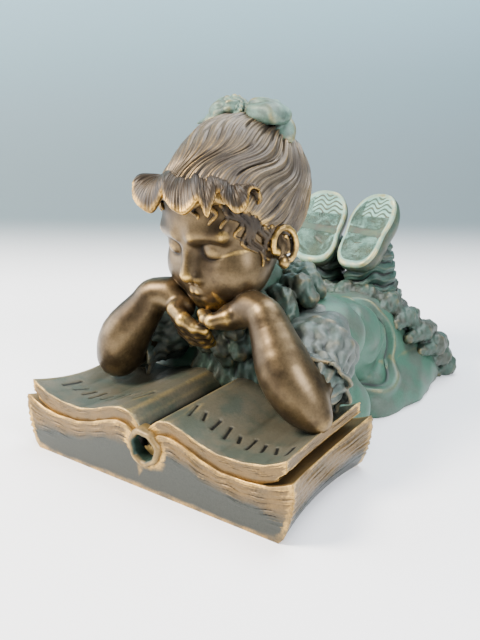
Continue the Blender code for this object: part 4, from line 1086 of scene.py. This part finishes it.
def sleeve_relief(points):
    """Crumpled folds along the sleeves, and gathers towards the cuff."""
    total = np.zeros(len(points))
    for side in (1, -1):
        shoulder, _, cuff = (np.array(stop) for stop in sleeve_line(side))
        axis = (cuff - shoulder) / np.linalg.norm(cuff - shoulder)
        local = points / MODULE + (0.0, ORIGIN_BACK, 0.0) - shoulder
        along = local @ axis
        up = np.array((0.0, 0.0, 1.0)) - axis[2] * axis
        turn = np.arctan2(local @ np.cross(axis, up), local @ up)
        wander = 0.9 * np.sin(0.9 * along + side) + 0.5 * np.sin(2.3 * along)
        gather = np.clip((along - 3.0) / 4.0, 0, 1)
        folds = 0.20 * ridge(5 * turn + 1.4 * wander, 4) + 0.14 * gather * ridge(15 * turn - 2 * wander)
        folds += 0.16 * np.sin(2.1 * along + 2.0 * np.sin(1.6 * turn)) * np.sin(1.9 * turn + along)
        total += folds * (points[:, 0] * side > 0)
    return total


def make_dress():
    masses = trunk_masses()
    trunk = settled_skin(masses, lambda points: depth_of(masses, TRUNK_SOFT, points), DRESS_VOXEL)
    raise_relief(trunk, fold_relief(mesh_points(trunk)))
    trim_to_floor(trunk)
    sleeves = settled_skin(both_sides(sleeve_masses), sleeve_depth, TRIM_VOXEL)
    raise_relief(sleeves, sleeve_relief(mesh_points(sleeves)))
    return make_piece("dress", [(trunk, CLOTH_PATINA, 0.40), (sleeves, SLEEVE_PATINA, 0.30)])


def trim_to_floor(mesh):
    """Presses everything below the floor flat onto it."""
    points = mesh_points(mesh)
    points[:, 2] = np.maximum(points[:, 2], 0.0)
    set_mesh_points(mesh, points)


# Collar, bib, cuffs and the petticoat frill

COLLAR_PUFFS = 15


def collar_masses():
    """Puffs round the neck and down onto the shoulders."""
    puffs = []
    for n in range(COLLAR_PUFFS):
        turn = 2 * math.pi * (n + 0.5) / COLLAR_PUFFS
        ends = []
        for spread, drop in ((0.2, 0.0), (0.7, 0.1), (1.0, 1.5)):
            sideways = math.sin(turn) * (4.2 + 4.0 * spread)
            back = -math.cos(turn) * (3.2 + 3.4 * spread)
            rise = 0.62 * min(back, 0.0) + 0.05 * max(back, 0.0)
            ends.append(place(sideways, 20.9 + back, 19.6 + rise - drop))
        puffs += chain(ends, (0.9, 1.3, 1.15))
    return puffs


def bib_masses():
    """Puffed lobes of the frill on the chest, in two rows, over upright pleats."""
    lobes = []
    for row, (level, spread, count) in enumerate(((13.9, 5.2, 4), (12.3, 6.2, 5))):
        for n in range(count):
            x = spread * (2 * (n + 0.5) / count - 1)
            y = 15.2 - 0.9 * row + 0.05 * x * x
            top, foot = place(0.8 * x, y + 1.4, level + 1.0), place(x, y, level - 0.4)
            lobes += chain((top, foot), (1.0, 1.35))
    for n in range(9):
        x = 0.95 * (n - 4)
        lobes += chain((place(x, 15.6, 11.0), place(1.25 * x, 15.2, 7.2)), (0.5, 0.75))
    return lobes


def cuff_shape(side):
    """The frilled edge of a sleeve, open round the arm."""
    _, puff, cuff = sleeve_line(side)
    axis = place(*cuff) - place(*puff)
    axis /= np.linalg.norm(axis)
    first = np.cross(axis, (0.0, 0.0, 1.0))
    first /= np.linalg.norm(first)
    second = np.cross(axis, first)
    centre = place(*cuff)

    def shape(across, along):
        turn = 2 * math.pi * across
        wave = np.cos(9 * turn + 0.6 * np.sin(2 * turn))
        radius = (3.1 + 0.9 * along + 0.35 * along * wave) * MODULE
        reach = (1.6 * along + 0.25 * along * wave) * MODULE
        ring = np.cos(turn)[:, None] * first + np.sin(turn)[:, None] * second
        return centre + axis * reach[:, None] + ring * radius[:, None]

    return shape


def cuff_relief(across, along):
    return 0.06 * ridge(2 * math.pi * 31 * across, 2) * np.sin(math.pi * along)


# Half of the hem, from the middle of the back down to the floor, and the frill's free edge
HEM_STOPS = (0.0, 0.16, 0.30, 0.44, 0.58, 0.74, 0.90, 1.0)
HEM_X = (0.0, 4.2, 7.6, 10.2, 12.2, 13.8, 14.8, 15.0)
HEM_Y = (38.0, 38.2, 38.8, 40.0, 42.0, 45.2, 48.6, 50.6)
HEM_Z = (12.6, 13.2, 12.6, 10.8, 8.4, 5.4, 2.4, 0.6)
EDGE_X = (0.0, 4.0, 7.6, 10.6, 13.0, 14.6, 15.3, 15.2)
EDGE_Y = (41.0, 41.4, 43.0, 45.4, 48.2, 51.2, 53.0, 53.5)
EDGE_Z = (13.6, 14.2, 13.4, 11.4, 8.6, 5.4, 2.4, 1.2)
FRILL_PLEATS = 8  # on each half
FRILL_BAND = 1.0  # radius of the cloth that joins the pleats, in modules
BACK_PLEATS = 6  # along the floor behind the knees, on each half


def frill_masses(side):
    """The pleats of the petticoat frill: over the haunches, down the side and behind."""
    pleats, crests, middles = [], [], []
    for n in range(FRILL_PLEATS + 1):
        where = n / FRILL_PLEATS
        hem = [np.interp(where, HEM_STOPS, track) for track in (HEM_X, HEM_Y, HEM_Z)]
        edge = [np.interp(where, HEM_STOPS, track) for track in (EDGE_X, EDGE_Y, EDGE_Z)]
        fullness = 1.1 + 0.3 * where + 0.14 * math.sin(2.3 * n + side)
        crest = [(a + b) / 2 + c for a, b, c in zip(hem, edge, (0.3, 0.4, 0.4))]
        ends = [place(spot[0] * side, *spot[1:]) for spot in (hem, crest, edge)]
        pleats += chain(ends, (0.8, 1.25 * fullness, 1.1 * fullness))
        crests.append(ends[1])
        middles.append((ends[1] + ends[2]) / 2)
    pleats += chain(crests, [FRILL_BAND] * len(crests)) + chain(middles, [FRILL_BAND] * len(middles))
    for n in range(BACK_PLEATS):
        x = 14.2 - 14.0 * n / BACK_PLEATS
        fullness = 1 + 0.16 * math.sin(1.9 * n + side)
        ends = (place(x * side, 51.0, 2.6), place(x * side, 53.75, 1.6))
        pleats += chain(ends, (1.3, 1.5 * fullness))
    return pleats


def cloth_crumple(points):
    """Small irregular creases in gathered cloth."""
    x, y, z = (points / MODULE).T
    first = np.sin(2.6 * x + 1.4 * np.sin(1.9 * y)) * np.sin(2.3 * z + 1.1 * np.sin(2.1 * x))
    second = np.sin(5.1 * y + 1.2 * np.sin(3.1 * z)) * np.sin(4.3 * x + 1.3)
    fine = np.sin(8.3 * x + 1.6 * np.sin(4.1 * z)) * np.sin(7.1 * z + 1.9 * np.sin(3.3 * y))
    return 0.13 * first + 0.07 * second + 0.03 * fine


ROSETTE = (0.3, 14.5, 10.5)


def rosette_masses():
    """A round button of gathered ribbon on the chest."""
    petals = [Egg(place(*ROSETTE), (0.55, 0.6, 0.55))]
    for n in range(7):
        turn = 2 * math.pi * n / 7
        offset = np.array((0.8 * math.cos(turn), 0.1, 0.8 * math.sin(turn)))
        petals.append(Egg(place(*(np.array(ROSETTE) + offset)), (0.48, 0.5, 0.48)))
    return petals


def make_trims():
    puffs = [*collar_masses(), *bib_masses(), *rosette_masses()]
    frill = both_sides(frill_masses)
    parts = []
    for masses in (puffs, frill):
        def depth(points, masses=masses):
            return depth_of(masses, PUFF_SOFT, points)

        skin = settled_skin(masses, depth, TRIM_VOXEL)
        raise_relief(skin, cloth_crumple(mesh_points(skin)))
        trim_to_floor(skin)
        parts.append((skin, TRIM_PATINA, 0.32))
    for side in (1, -1):
        cuff = ribbon(finer(190), finer(14), 0.55, cuff_shape(side), cuff_relief)
        parts.append((cuff, SLEEVE_PATINA, 0.3))
    return make_piece("dress_trims", parts)


# Socks and shoes


def leg_masses(side):
    ankle = place(0.5 + 3.8 * side, 46.4, 18.4)
    calf = place(0.4 + 4.2 * side, 47.4, 12.5)
    knee = place(7.2 * side, 49.2, 6.2)
    return chain((ankle, calf, knee), (3.5, 3.9, 4.4))


def sock_relief(points):
    """Wrinkles round the socks between the frill and the shoes."""
    x, y, z = (points / MODULE).T
    y = y + ORIGIN_BACK
    along = z - 0.35 * np.abs(x) + 0.45 * np.sin(1.1 * x + 0.8 * y) + 0.2 * np.sin(2.3 * y)
    coarse = ridge(2 * math.pi * along / 1.7)
    fine = ridge(2 * math.pi * along / 0.62 + 1.5 * np.sin(1.7 * x + y))
    return (0.22 * coarse + 0.07 * fine) * np.clip((z - 7.0) / 2.0, 0, 1)


SOLE_TOE_HALF, SOLE_HEEL_HALF, SOLE_LENGTH = 3.9, 3.3, 12.0
SOLE_LEAN = math.radians(52)
SOLE_ROLL = math.radians(10)
HEEL_SQUARE, TOE_SQUARE = 0.65, 0.85  # below 1 an end of the sole is squarer than an oval's


def sole_outline(points):
    """Turns points of a unit disc into the outline of a sole, toe up."""
    squarer = np.where(points[:, 1] < 0, HEEL_SQUARE, TOE_SQUARE)
    far = np.maximum(np.hypot(points[:, 0], points[:, 1]), 1e-9)
    reach = far * np.sign(points[:, 1]) * np.abs(points[:, 1] / far) ** squarer
    share = (reach + 1) / 2
    half = SOLE_HEEL_HALF + (SOLE_TOE_HALF - SOLE_HEEL_HALF) * share
    waist = 1 - 0.10 * np.exp(-((share - 0.42) ** 2) / 0.03)
    across = far * np.sign(points[:, 0]) * np.abs(points[:, 0] / far) ** squarer
    return across * half * waist, reach * SOLE_LENGTH / 2


def sole_tread(x, y):
    """The relief of a sole: a groove at the waist and squiggles at the toe."""
    groove = np.exp(-(((y + 0.5 + 0.10 * x) / 0.14) ** 2))
    squiggle = ridge(2 * math.pi * (y / 0.8 + 0.3 * np.sin(2.3 * x)) + 1.5 * np.sin(3.0 * x))
    toe = np.clip((y - 2.2) / 0.8, 0, 1) * np.clip((x + 1.6) / 0.8, 0, 1)
    return 0.07 * squiggle * toe - 0.14 * groove


def turned_to_sole(side):
    """How a shoe with its sole level lies on the statue."""
    return (
        Matrix.Translation(Vector(place(0.3 + 3.85 * side, 44.9, 22.5)))
        @ Matrix.Rotation(SOLE_LEAN, 4, "X")
        @ Matrix.Rotation(math.radians(-5 * side), 4, "Z")
        @ Matrix.Rotation(-SOLE_ROLL * side, 4, "Y")
        @ Matrix.Scale(MODULE, 4)
    )


def shoe_layer(side, levels, rings):
    """A closed slab of a shoe. levels holds depths below the sole and widths, from its top."""
    bm = bmesh.new()
    bmesh.ops.create_circle(bm, cap_ends=True, segments=finer(150), radius=levels[0][1])
    sole = bm.faces[:]
    if sole[0].normal.z < 0:
        bmesh.ops.reverse_faces(bm, faces=sole)
    edges = bm.edges[:]
    for (depth, wide), (next_depth, next_wide) in zip(levels, levels[1:]):
        made = bmesh.ops.extrude_edge_only(bm, edges=edges)
        verts = [item for item in made["geom"] if isinstance(item, bmesh.types.BMVert)]
        edges = [item for item in made["geom"] if isinstance(item, bmesh.types.BMEdge)]
        bmesh.ops.translate(bm, verts=verts, vec=(0, 0, depth - next_depth))
        bmesh.ops.scale(bm, verts=verts, vec=(next_wide / wide, next_wide / wide, 1))
    bmesh.ops.holes_fill(bm, edges=edges, sides=0)
    for n in range(rings):
        bmesh.ops.inset_region(bm, faces=sole, thickness=0.001, use_boundary=True)
        share = (rings - n) / (rings - n + 1)
        bmesh.ops.scale(bm, verts=sole[0].verts[:], vec=(share, share, 1))
    bmesh.ops.recalc_face_normals(bm, faces=bm.faces)
    mesh = bpy.data.meshes.new("shoe")
    bm.to_mesh(mesh)
    bm.free()
    points = mesh_points(mesh)
    x, y = sole_outline(points)
    inner = np.clip((1 - np.hypot(points[:, 0], points[:, 1])) / 0.12, 0, 1)
    z = points[:, 2] + sole_tread(x, y) * inner * (points[:, 2] > levels[0][0] - 0.01)
    matrix = turned_to_sole(side)
    local = np.stack([x, y, z], axis=1)
    set_mesh_points(mesh, local @ np.array(matrix.to_3x3()).T + np.array(matrix.translation))
    return mesh


# Depths below the sole and widths, in modules and shares: the plate and the shoe's body
SOLE_LEVELS = (
    (0.0, 0.93), (-0.06, 0.99), (0.12, 1.04), (0.35, 1.06), (0.65, 1.06), (0.80, 1.03), (0.85, 0.9),
)
UPPER_LEVELS = (
    (0.6, 0.9), (0.65, 1.0), (1.1, 1.07), (1.9, 1.08), (2.7, 1.03), (3.4, 0.94), (4.1, 0.76), (4.5, 0.5),
)


def make_legs():
    legs = [leg_masses(side) for side in (1, -1)]

    def depth(points):
        return np.minimum(*(depth_of(leg, LEG_SOFT, points) for leg in legs))

    socks = settled_skin([*legs[0], *legs[1]], depth, SOCK_VOXEL)
    raise_relief(socks, sock_relief(mesh_points(socks)))
    trim_to_floor(socks)
    parts = [(socks, SOCK_PATINA, 0.30)]
    for side in (1, -1):
        parts.append((shoe_layer(side, SOLE_LEVELS, finer(44)), SOLE_PATINA, 0.28))
        parts.append((shoe_layer(side, UPPER_LEVELS, 3), SOCK_PATINA, 0.3))
    return make_piece("socks_and_shoes", parts)


# The open book, in metres

BOOK_DEPTH = 17.6 * MODULE
BOOK_FOOT_HALF = 16.5 * MODULE
BOOK_SIDE_HOLLOW = 1.0 * MODULE
BOOK_FRONT = -ORIGIN_BACK * MODULE
UPPER_HALF = 17.0 * MODULE
UPPER_DEPTH = 15.7 * MODULE
UPPER_SETBACK = 0.3 * MODULE
UPPER_THICKNESS = 1.4 * MODULE
LEAF_GAP = 0.45 * MODULE
LEAF_NOTCH = 0.8 * MODULE
PAGE_SIDE_SAG = 1.0 * MODULE
GUTTER, HUMP, DIP, CORNER = (height * MODULE for height in (6.0, 8.5, 6.8, 8.5))
PAGE_STOPS = (0.0, 0.05, 0.12, 0.20, 0.30, 0.42, 0.55, 0.72, 0.86, 0.95, 1.0)


def page_height(share, back):
    """Height of the open page at shares of its width and depth."""
    heights = (
        GUTTER, GUTTER + 0.55 * (HUMP - GUTTER), GUTTER + 0.93 * (HUMP - GUTTER), HUMP,
        DIP + 0.75 * (HUMP - DIP), DIP + 0.30 * (HUMP - DIP), DIP, DIP + 0.04 * (CORNER - DIP),
        DIP + 0.30 * (CORNER - DIP), DIP + 0.70 * (CORNER - DIP), CORNER,
    )
    sag = PAGE_SIDE_SAG * share**2 * (1 - (2 * back - 1) ** 2)
    fine = np.linspace(0, 1, 201)
    smooth = np.interp(fine, PAGE_STOPS, heights)
    kernel = np.hanning(13) / np.hanning(13).sum()
    padded = np.concatenate([smooth[12:0:-1], smooth, 2 * smooth[-1] - smooth[-2:-14:-1]])
    smooth = np.convolve(padded, kernel, "same")[12:-12]
    return np.interp(share, fine, smooth) - sag


def lower_top(top, share):
    return top - UPPER_THICKNESS - 0.1 * MODULE - LEAF_GAP * share**2


def leaf_lines(level, along, share):
    """Edges of many leaves, as uneven grooves along the block, which fade out below."""
    wander = 0.6 * np.sin(2.1 * along) + 0.35 * np.sin(5.3 * along + 1.0)
    coarse = ridge(2 * math.pi * (level * 9 + 0.25 * wander), 4)
    fine = ridge(2 * math.pi * (level * 22 + 0.5 * wander), 2)
    deeper = 0.6 + 0.4 * np.sin(3.7 * along + 9 * level)
    chips = np.sin(31 * along + 5 * level) * np.sin(43 * level + 7 * along)
    lines = deeper * (0.6 * coarse + 0.4 * fine) + 0.25 * chips
    return lines * np.clip((level - 0.62 * (1 - 0.7 * share**2)) / 0.15, 0, 1)


def spine_hollow(x, z):
    """How far the front of the book is hollowed inside the ring of the spine."""
    gap = np.hypot(x - SPINE_SIDE, z - SPINE_UP) / (SPINE_RADIUS - 0.3 * SPINE_WALL)
    return SPINE_DEEP * np.clip((1.0 - gap) / 0.12, 0, 1)


SPINE_SIDE, SPINE_UP = 0.4 * MODULE, 5.0 * MODULE
SPINE_RADIUS, SPINE_WALL, SPINE_DEEP = 2.1 * MODULE, 0.7 * MODULE, 2.2 * MODULE
STROKES = 9
STROKE_FIRST, STROKE_PITCH = 3.4, 1.45
STROKE_BACK = 0.26


def stroke_depth(x, y):
    """Rows of shallow strokes in the pages, which spell nothing."""
    deep = np.zeros(len(x))
    across = np.abs(x) / MODULE
    back = (y - BOOK_FRONT - UPPER_SETBACK) / MODULE
    for n in range(STROKES):
        length = 2.5 * (0.75 + 0.25 * math.cos(2.4 * n))
        lean = math.radians(16 + 9 * math.sin(2.1 * n))
        dx = across - (STROKE_FIRST + n * STROKE_PITCH)
        dy = back - STROKE_BACK * UPPER_DEPTH / MODULE
        along = np.abs(dx * math.sin(-lean) + dy * math.cos(lean)) - length / 2
        side = np.abs(dx * math.cos(lean) + dy * math.sin(lean))
        gap = np.hypot(np.maximum(along, 0.0), side)
        deep = np.maximum(deep, np.clip(1 - gap / 0.24, 0, 1) ** 0.6)
    return deep


def make_block(columns, rows, levels, half, depth, front, bottom, top, lined=0.0, marked=False):
    """One block of the book: a cube cut into a lattice whose points are then set in place."""
    bm = bmesh.new()
    bmesh.ops.create_cube(bm, size=1.0)
    bmesh.ops.translate(bm, verts=bm.verts, vec=(0.5, 0.5, 0.5))
    for axis, count in enumerate((columns, rows, levels)):
        normal = Vector([float(axis == n) for n in range(3)])
        for n in range(1, count):
            everything = [*bm.verts, *bm.edges, *bm.faces]
            bmesh.ops.bisect_plane(bm, geom=everything, plane_co=normal * (n / count), plane_no=normal)
    bm.normal_update()
    for face in bm.faces:
        face.material_index = int(marked and face.normal.z < 0.5)
    mesh = bpy.data.meshes.new("block")
    bm.to_mesh(mesh)
    bm.free()
    points = mesh_points(mesh)
    across, back, level = 2 * points[:, 0] - 1, points[:, 1], points[:, 2]
    share = np.abs(across)
    hollow = BOOK_SIDE_HOLLOW * (1 - (2 * back - 1) ** 2) * share**2
    low, high = bottom(share, back), top(share, back)
    edge = np.clip((0.5 - np.abs(level - 0.5)) * levels / 1.5, 0, 1)
    lines = leaf_lines(level, 9 * across + 4 * back, share) * lined * edge
    onside, onfront = share > 0.9999, (back < 1e-4) | (back > 0.9999)
    x = across * (half(level) - hollow) + np.sign(across) * lines * onside
    z = low + level * (high - low)
    y = BOOK_FRONT + front + back * depth + lines * np.where(back < 0.5, -1, 1) * onfront
    y = y + spine_hollow(x, z) * (back < 1e-4)
    if marked:
        z = z - 0.20 * MODULE * stroke_depth(x, y) * (level > 0.9999)
    set_mesh_points(mesh, np.stack([x, y, z], axis=1))
    lower = np.clip((0.84 - 0.3 * share**3 - level) / 0.22, 0, 1)
    set_value(mesh, "tone", lower * (not marked))
    return mesh


def spine_ring():
    """The rolled end of the spine, a ring with a deep hole."""
    bm = bmesh.new()
    outer, wall, reach = SPINE_RADIUS, SPINE_WALL, 0.5 * MODULE
    profile = [
        (outer, 1.2 * MODULE), (outer, -0.2 * MODULE), (outer - 0.15 * MODULE, -reach + 0.1 * MODULE),
        (outer - wall / 2, -reach), (outer - wall + 0.1 * MODULE, -reach + 0.1 * MODULE),
        (outer - wall, 0.1 * MODULE), (outer - wall - 0.1 * MODULE, 0.8 * SPINE_DEEP),
        (0.5 * outer, 0.85 * SPINE_DEEP), (0.02 * MODULE, 0.85 * SPINE_DEEP),
    ]
    verts = [bm.verts.new((radius, y, 0.0)) for radius, y in profile]
    edges = [bm.edges.new(pair) for pair in zip(verts, verts[1:])]
    bmesh.ops.spin(
        bm, geom=[*verts, *edges], axis=(0, 1, 0), cent=(0, 0, 0), angle=2 * math.pi,
        steps=finer(64), use_merge=True,
    )
    bmesh.ops.remove_doubles(bm, verts=bm.verts, dist=1e-6)
    bmesh.ops.holes_fill(bm, edges=[edge for edge in bm.edges if edge.is_boundary], sides=0)
    bmesh.ops.recalc_face_normals(bm, faces=bm.faces)
    mesh = bpy.data.meshes.new("spine_ring")
    bm.to_mesh(mesh)
    bm.free()
    points = mesh_points(mesh)
    turn = np.arctan2(points[:, 2], points[:, 0])
    uneven = 1 + 0.05 * np.sin(3 * turn + 1.0) + 0.03 * np.sin(7 * turn)
    points *= np.stack([uneven, np.ones(len(turn)), uneven], axis=1)
    inside = np.hypot(points[:, 0], points[:, 2]) < outer - 0.8 * wall
    set_mesh_points(mesh, points + (SPINE_SIDE, BOOK_FRONT, SPINE_UP))
    set_value(mesh, "tone", inside)
    return mesh


LOWER_STOPS = (0.0, 0.10, 0.28, 0.55, 0.80, 1.0)
LOWER_HALVES = (0.0, 0.55, 0.95, 1.35, 1.5, 1.3)  # modules wider than at the foot


def make_book():
    def lower_leaves_top(share, back):
        return lower_top(page_height(share, back), share)

    def lower_half(level):
        return BOOK_FOOT_HALF + np.interp(level, LOWER_STOPS, LOWER_HALVES) * MODULE

    def upper_half(level):
        return UPPER_HALF - LEAF_NOTCH * np.clip((0.45 - level) / 0.3, 0, 1)

    lower = make_block(
        finer(190), finer(60), finer(76), lower_half, BOOK_DEPTH, 0.0,
        lambda share, back: np.zeros(len(share)), lower_leaves_top, lined=0.11 * MODULE,
    )
    upper = make_block(
        finer(230), finer(110), finer(26), upper_half, UPPER_DEPTH, UPPER_SETBACK,
        lambda share, back: lower_leaves_top(share, back) - 0.3 * MODULE, page_height,
        lined=0.09 * MODULE, marked=True,
    )
    return make_piece(
        "open_book",
        [
            (upper, (PAGE_PATINA, LEAF_PATINA), 0.12), (lower, LEAF_PATINA, 0.14),
            (spine_ring(), RING_PATINA, 1.2),
        ],
    )


# The view: a pale cove, soft studio light and a camera where the photograph was taken


COVE_BACK, COVE_BEND = 0.37, 0.50  # metres: where the floor starts to rise, and its radius
COVE_TURN = 33  # degrees, to stand square to the camera
COVE_FLOOR = "#fbfbfb"
# Heights in metres between which the cove takes on a colour
COVE_TINTS = ((0.0, 0.16, "#5c6b6f"), (0.18, 1.1, "#7ea3b0"))


def make_cove():
    """A pale floor that curves up into a backdrop."""
    bm = bmesh.new()
    profile = [(-2.0, 0.0), (COVE_BACK, 0.0)]
    profile += [
        (COVE_BACK + COVE_BEND * math.sin(t), COVE_BEND - COVE_BEND * math.cos(t))
        for t in np.linspace(0.1, math.pi / 2, 12)
    ]
    profile.append((COVE_BACK + COVE_BEND, 3.0))
    verts = [bm.verts.new((-3.0, y, z)) for y, z in profile]
    edges = [bm.edges.new(pair) for pair in zip(verts, verts[1:])]
    made = bmesh.ops.extrude_edge_only(bm, edges=edges)
    moved = [item for item in made["geom"] if isinstance(item, bmesh.types.BMVert)]
    bmesh.ops.translate(bm, verts=moved, vec=(6.0, 0, 0))
    turn = Matrix.Rotation(math.radians(COVE_TURN), 3, "Z")
    bmesh.ops.rotate(bm, verts=bm.verts, cent=(0, 0, 0), matrix=turn)
    mesh = bpy.data.meshes.new("studio_cove")
    bm.to_mesh(mesh)
    bm.free()
    mesh.shade_smooth()
    material = bpy.data.materials.new("matt_studio_paper")
    material.use_nodes = True
    tree = material.node_tree
    shader = tree.nodes["Principled BSDF"]
    coords = add_node(tree, "ShaderNodeTexCoord").outputs["Object"]
    rise = add_node(tree, "ShaderNodeSeparateXYZ", links={"Vector": coords}).outputs["Z"]
    tint = hex_colour(COVE_FLOOR)
    for low, high, code in COVE_TINTS:
        share = add_node(
            tree,
            "ShaderNodeMapRange",
            settings={"interpolation_type": "SMOOTHSTEP"},
            inputs={"From Min": low, "From Max": high},
            links={"Value": rise},
        ).outputs["Result"]
        mix = add_node(
            tree,
            "ShaderNodeMix",
            settings={"data_type": "RGBA"},
            inputs={7: hex_colour(code)},
            links={0: share},
        )
        if isinstance(tint, tuple):
            mix.inputs[6].default_value = tint
        else:
            tree.links.new(tint, mix.inputs[6])
        tint = mix.outputs[2]
    tree.links.new(tint, shader.inputs["Base Color"])
    shader.inputs["Roughness"].default_value = 0.9
    mesh.materials.append(material)
    cove = new_object("studio_cove", mesh)
    return cove


def add_light(name, place_at, look_at, size, power, tint):
    light = bpy.data.lights.new(name, "AREA")
    light.shape = "RECTANGLE"
    light.size, light.size_y = size
    light.energy = power
    light.color = hex_colour(tint)[:3]
    lamp = bpy.data.objects.new(name, light)
    bpy.context.scene.collection.objects.link(lamp)
    toward = Vector(look_at) - Vector(place_at)
    turn = toward.to_track_quat("-Z", "Y").to_matrix().to_4x4()
    lamp.matrix_world = Matrix.Translation(place_at) @ turn


# Soft lights: where each stands and looks, in metres, its size, its watts and its tint
LIGHTS = (
    ("key", (-0.7, -1.0, 1.3), (0, 0, 0.15), (0.5, 0.5), 70, "#fff4e6"),
    ("fill", (1.3, -0.5, 0.9), (0, 0, 0.15), (0.6, 0.6), 30, "#f4f6ff"),
    ("side", (-1.3, -0.8, 0.6), (0, -0.1, 0.15), (1.2, 1.0), 34, "#f2f5ff"),
    ("top", (0.2, 0.4, 1.5), (0, 0, 0.1), (1.0, 1.0), 42, "#f4f8ff"),
)

CAMERA_AT = (41.92, -44.52, 36.63)  # modules, y from the front of the book
CAMERA_YAW, CAMERA_PITCH, CAMERA_ROLL = 33.83, 16.54, -0.45  # degrees
FOCAL_PIXELS, PHOTO_HEIGHT = 646.5, 640  # focal length and height of the photograph, in pixels


def add_camera():
    yaw, pitch, roll = map(math.radians, (CAMERA_YAW, CAMERA_PITCH, CAMERA_ROLL))
    camera = bpy.data.cameras.new("photo_view")
    camera.sensor_fit = "VERTICAL"
    camera.sensor_height = 36.0
    camera.lens = FOCAL_PIXELS * camera.sensor_height / PHOTO_HEIGHT
    camera.clip_start = 0.02
    holder = bpy.data.objects.new("photo_view", camera)
    bpy.context.scene.collection.objects.link(holder)
    turn = Matrix.Rotation(yaw, 4, "Z") @ Matrix.Rotation(math.pi / 2 - pitch, 4, "X")
    turn = turn @ Matrix.Rotation(-roll, 4, "Z")
    holder.matrix_world = Matrix.Translation(Vector(place(*CAMERA_AT))) @ turn
    bpy.context.scene.camera = holder


def add_world():
    world = bpy.data.worlds.new("studio")
    bpy.context.scene.world = world
    world.use_nodes = True
    background = world.node_tree.nodes["Background"]
    background.inputs["Color"].default_value = hex_colour("#cfd8de")
    background.inputs["Strength"].default_value = 0.5


def main():
    make_skin()
    make_hair()
    make_bow()
    make_dress()
    make_trims()
    make_legs()
    make_book()
    make_cove()
    add_world()
    for light in LIGHTS:
        add_light(*light)
    add_camera()


main()
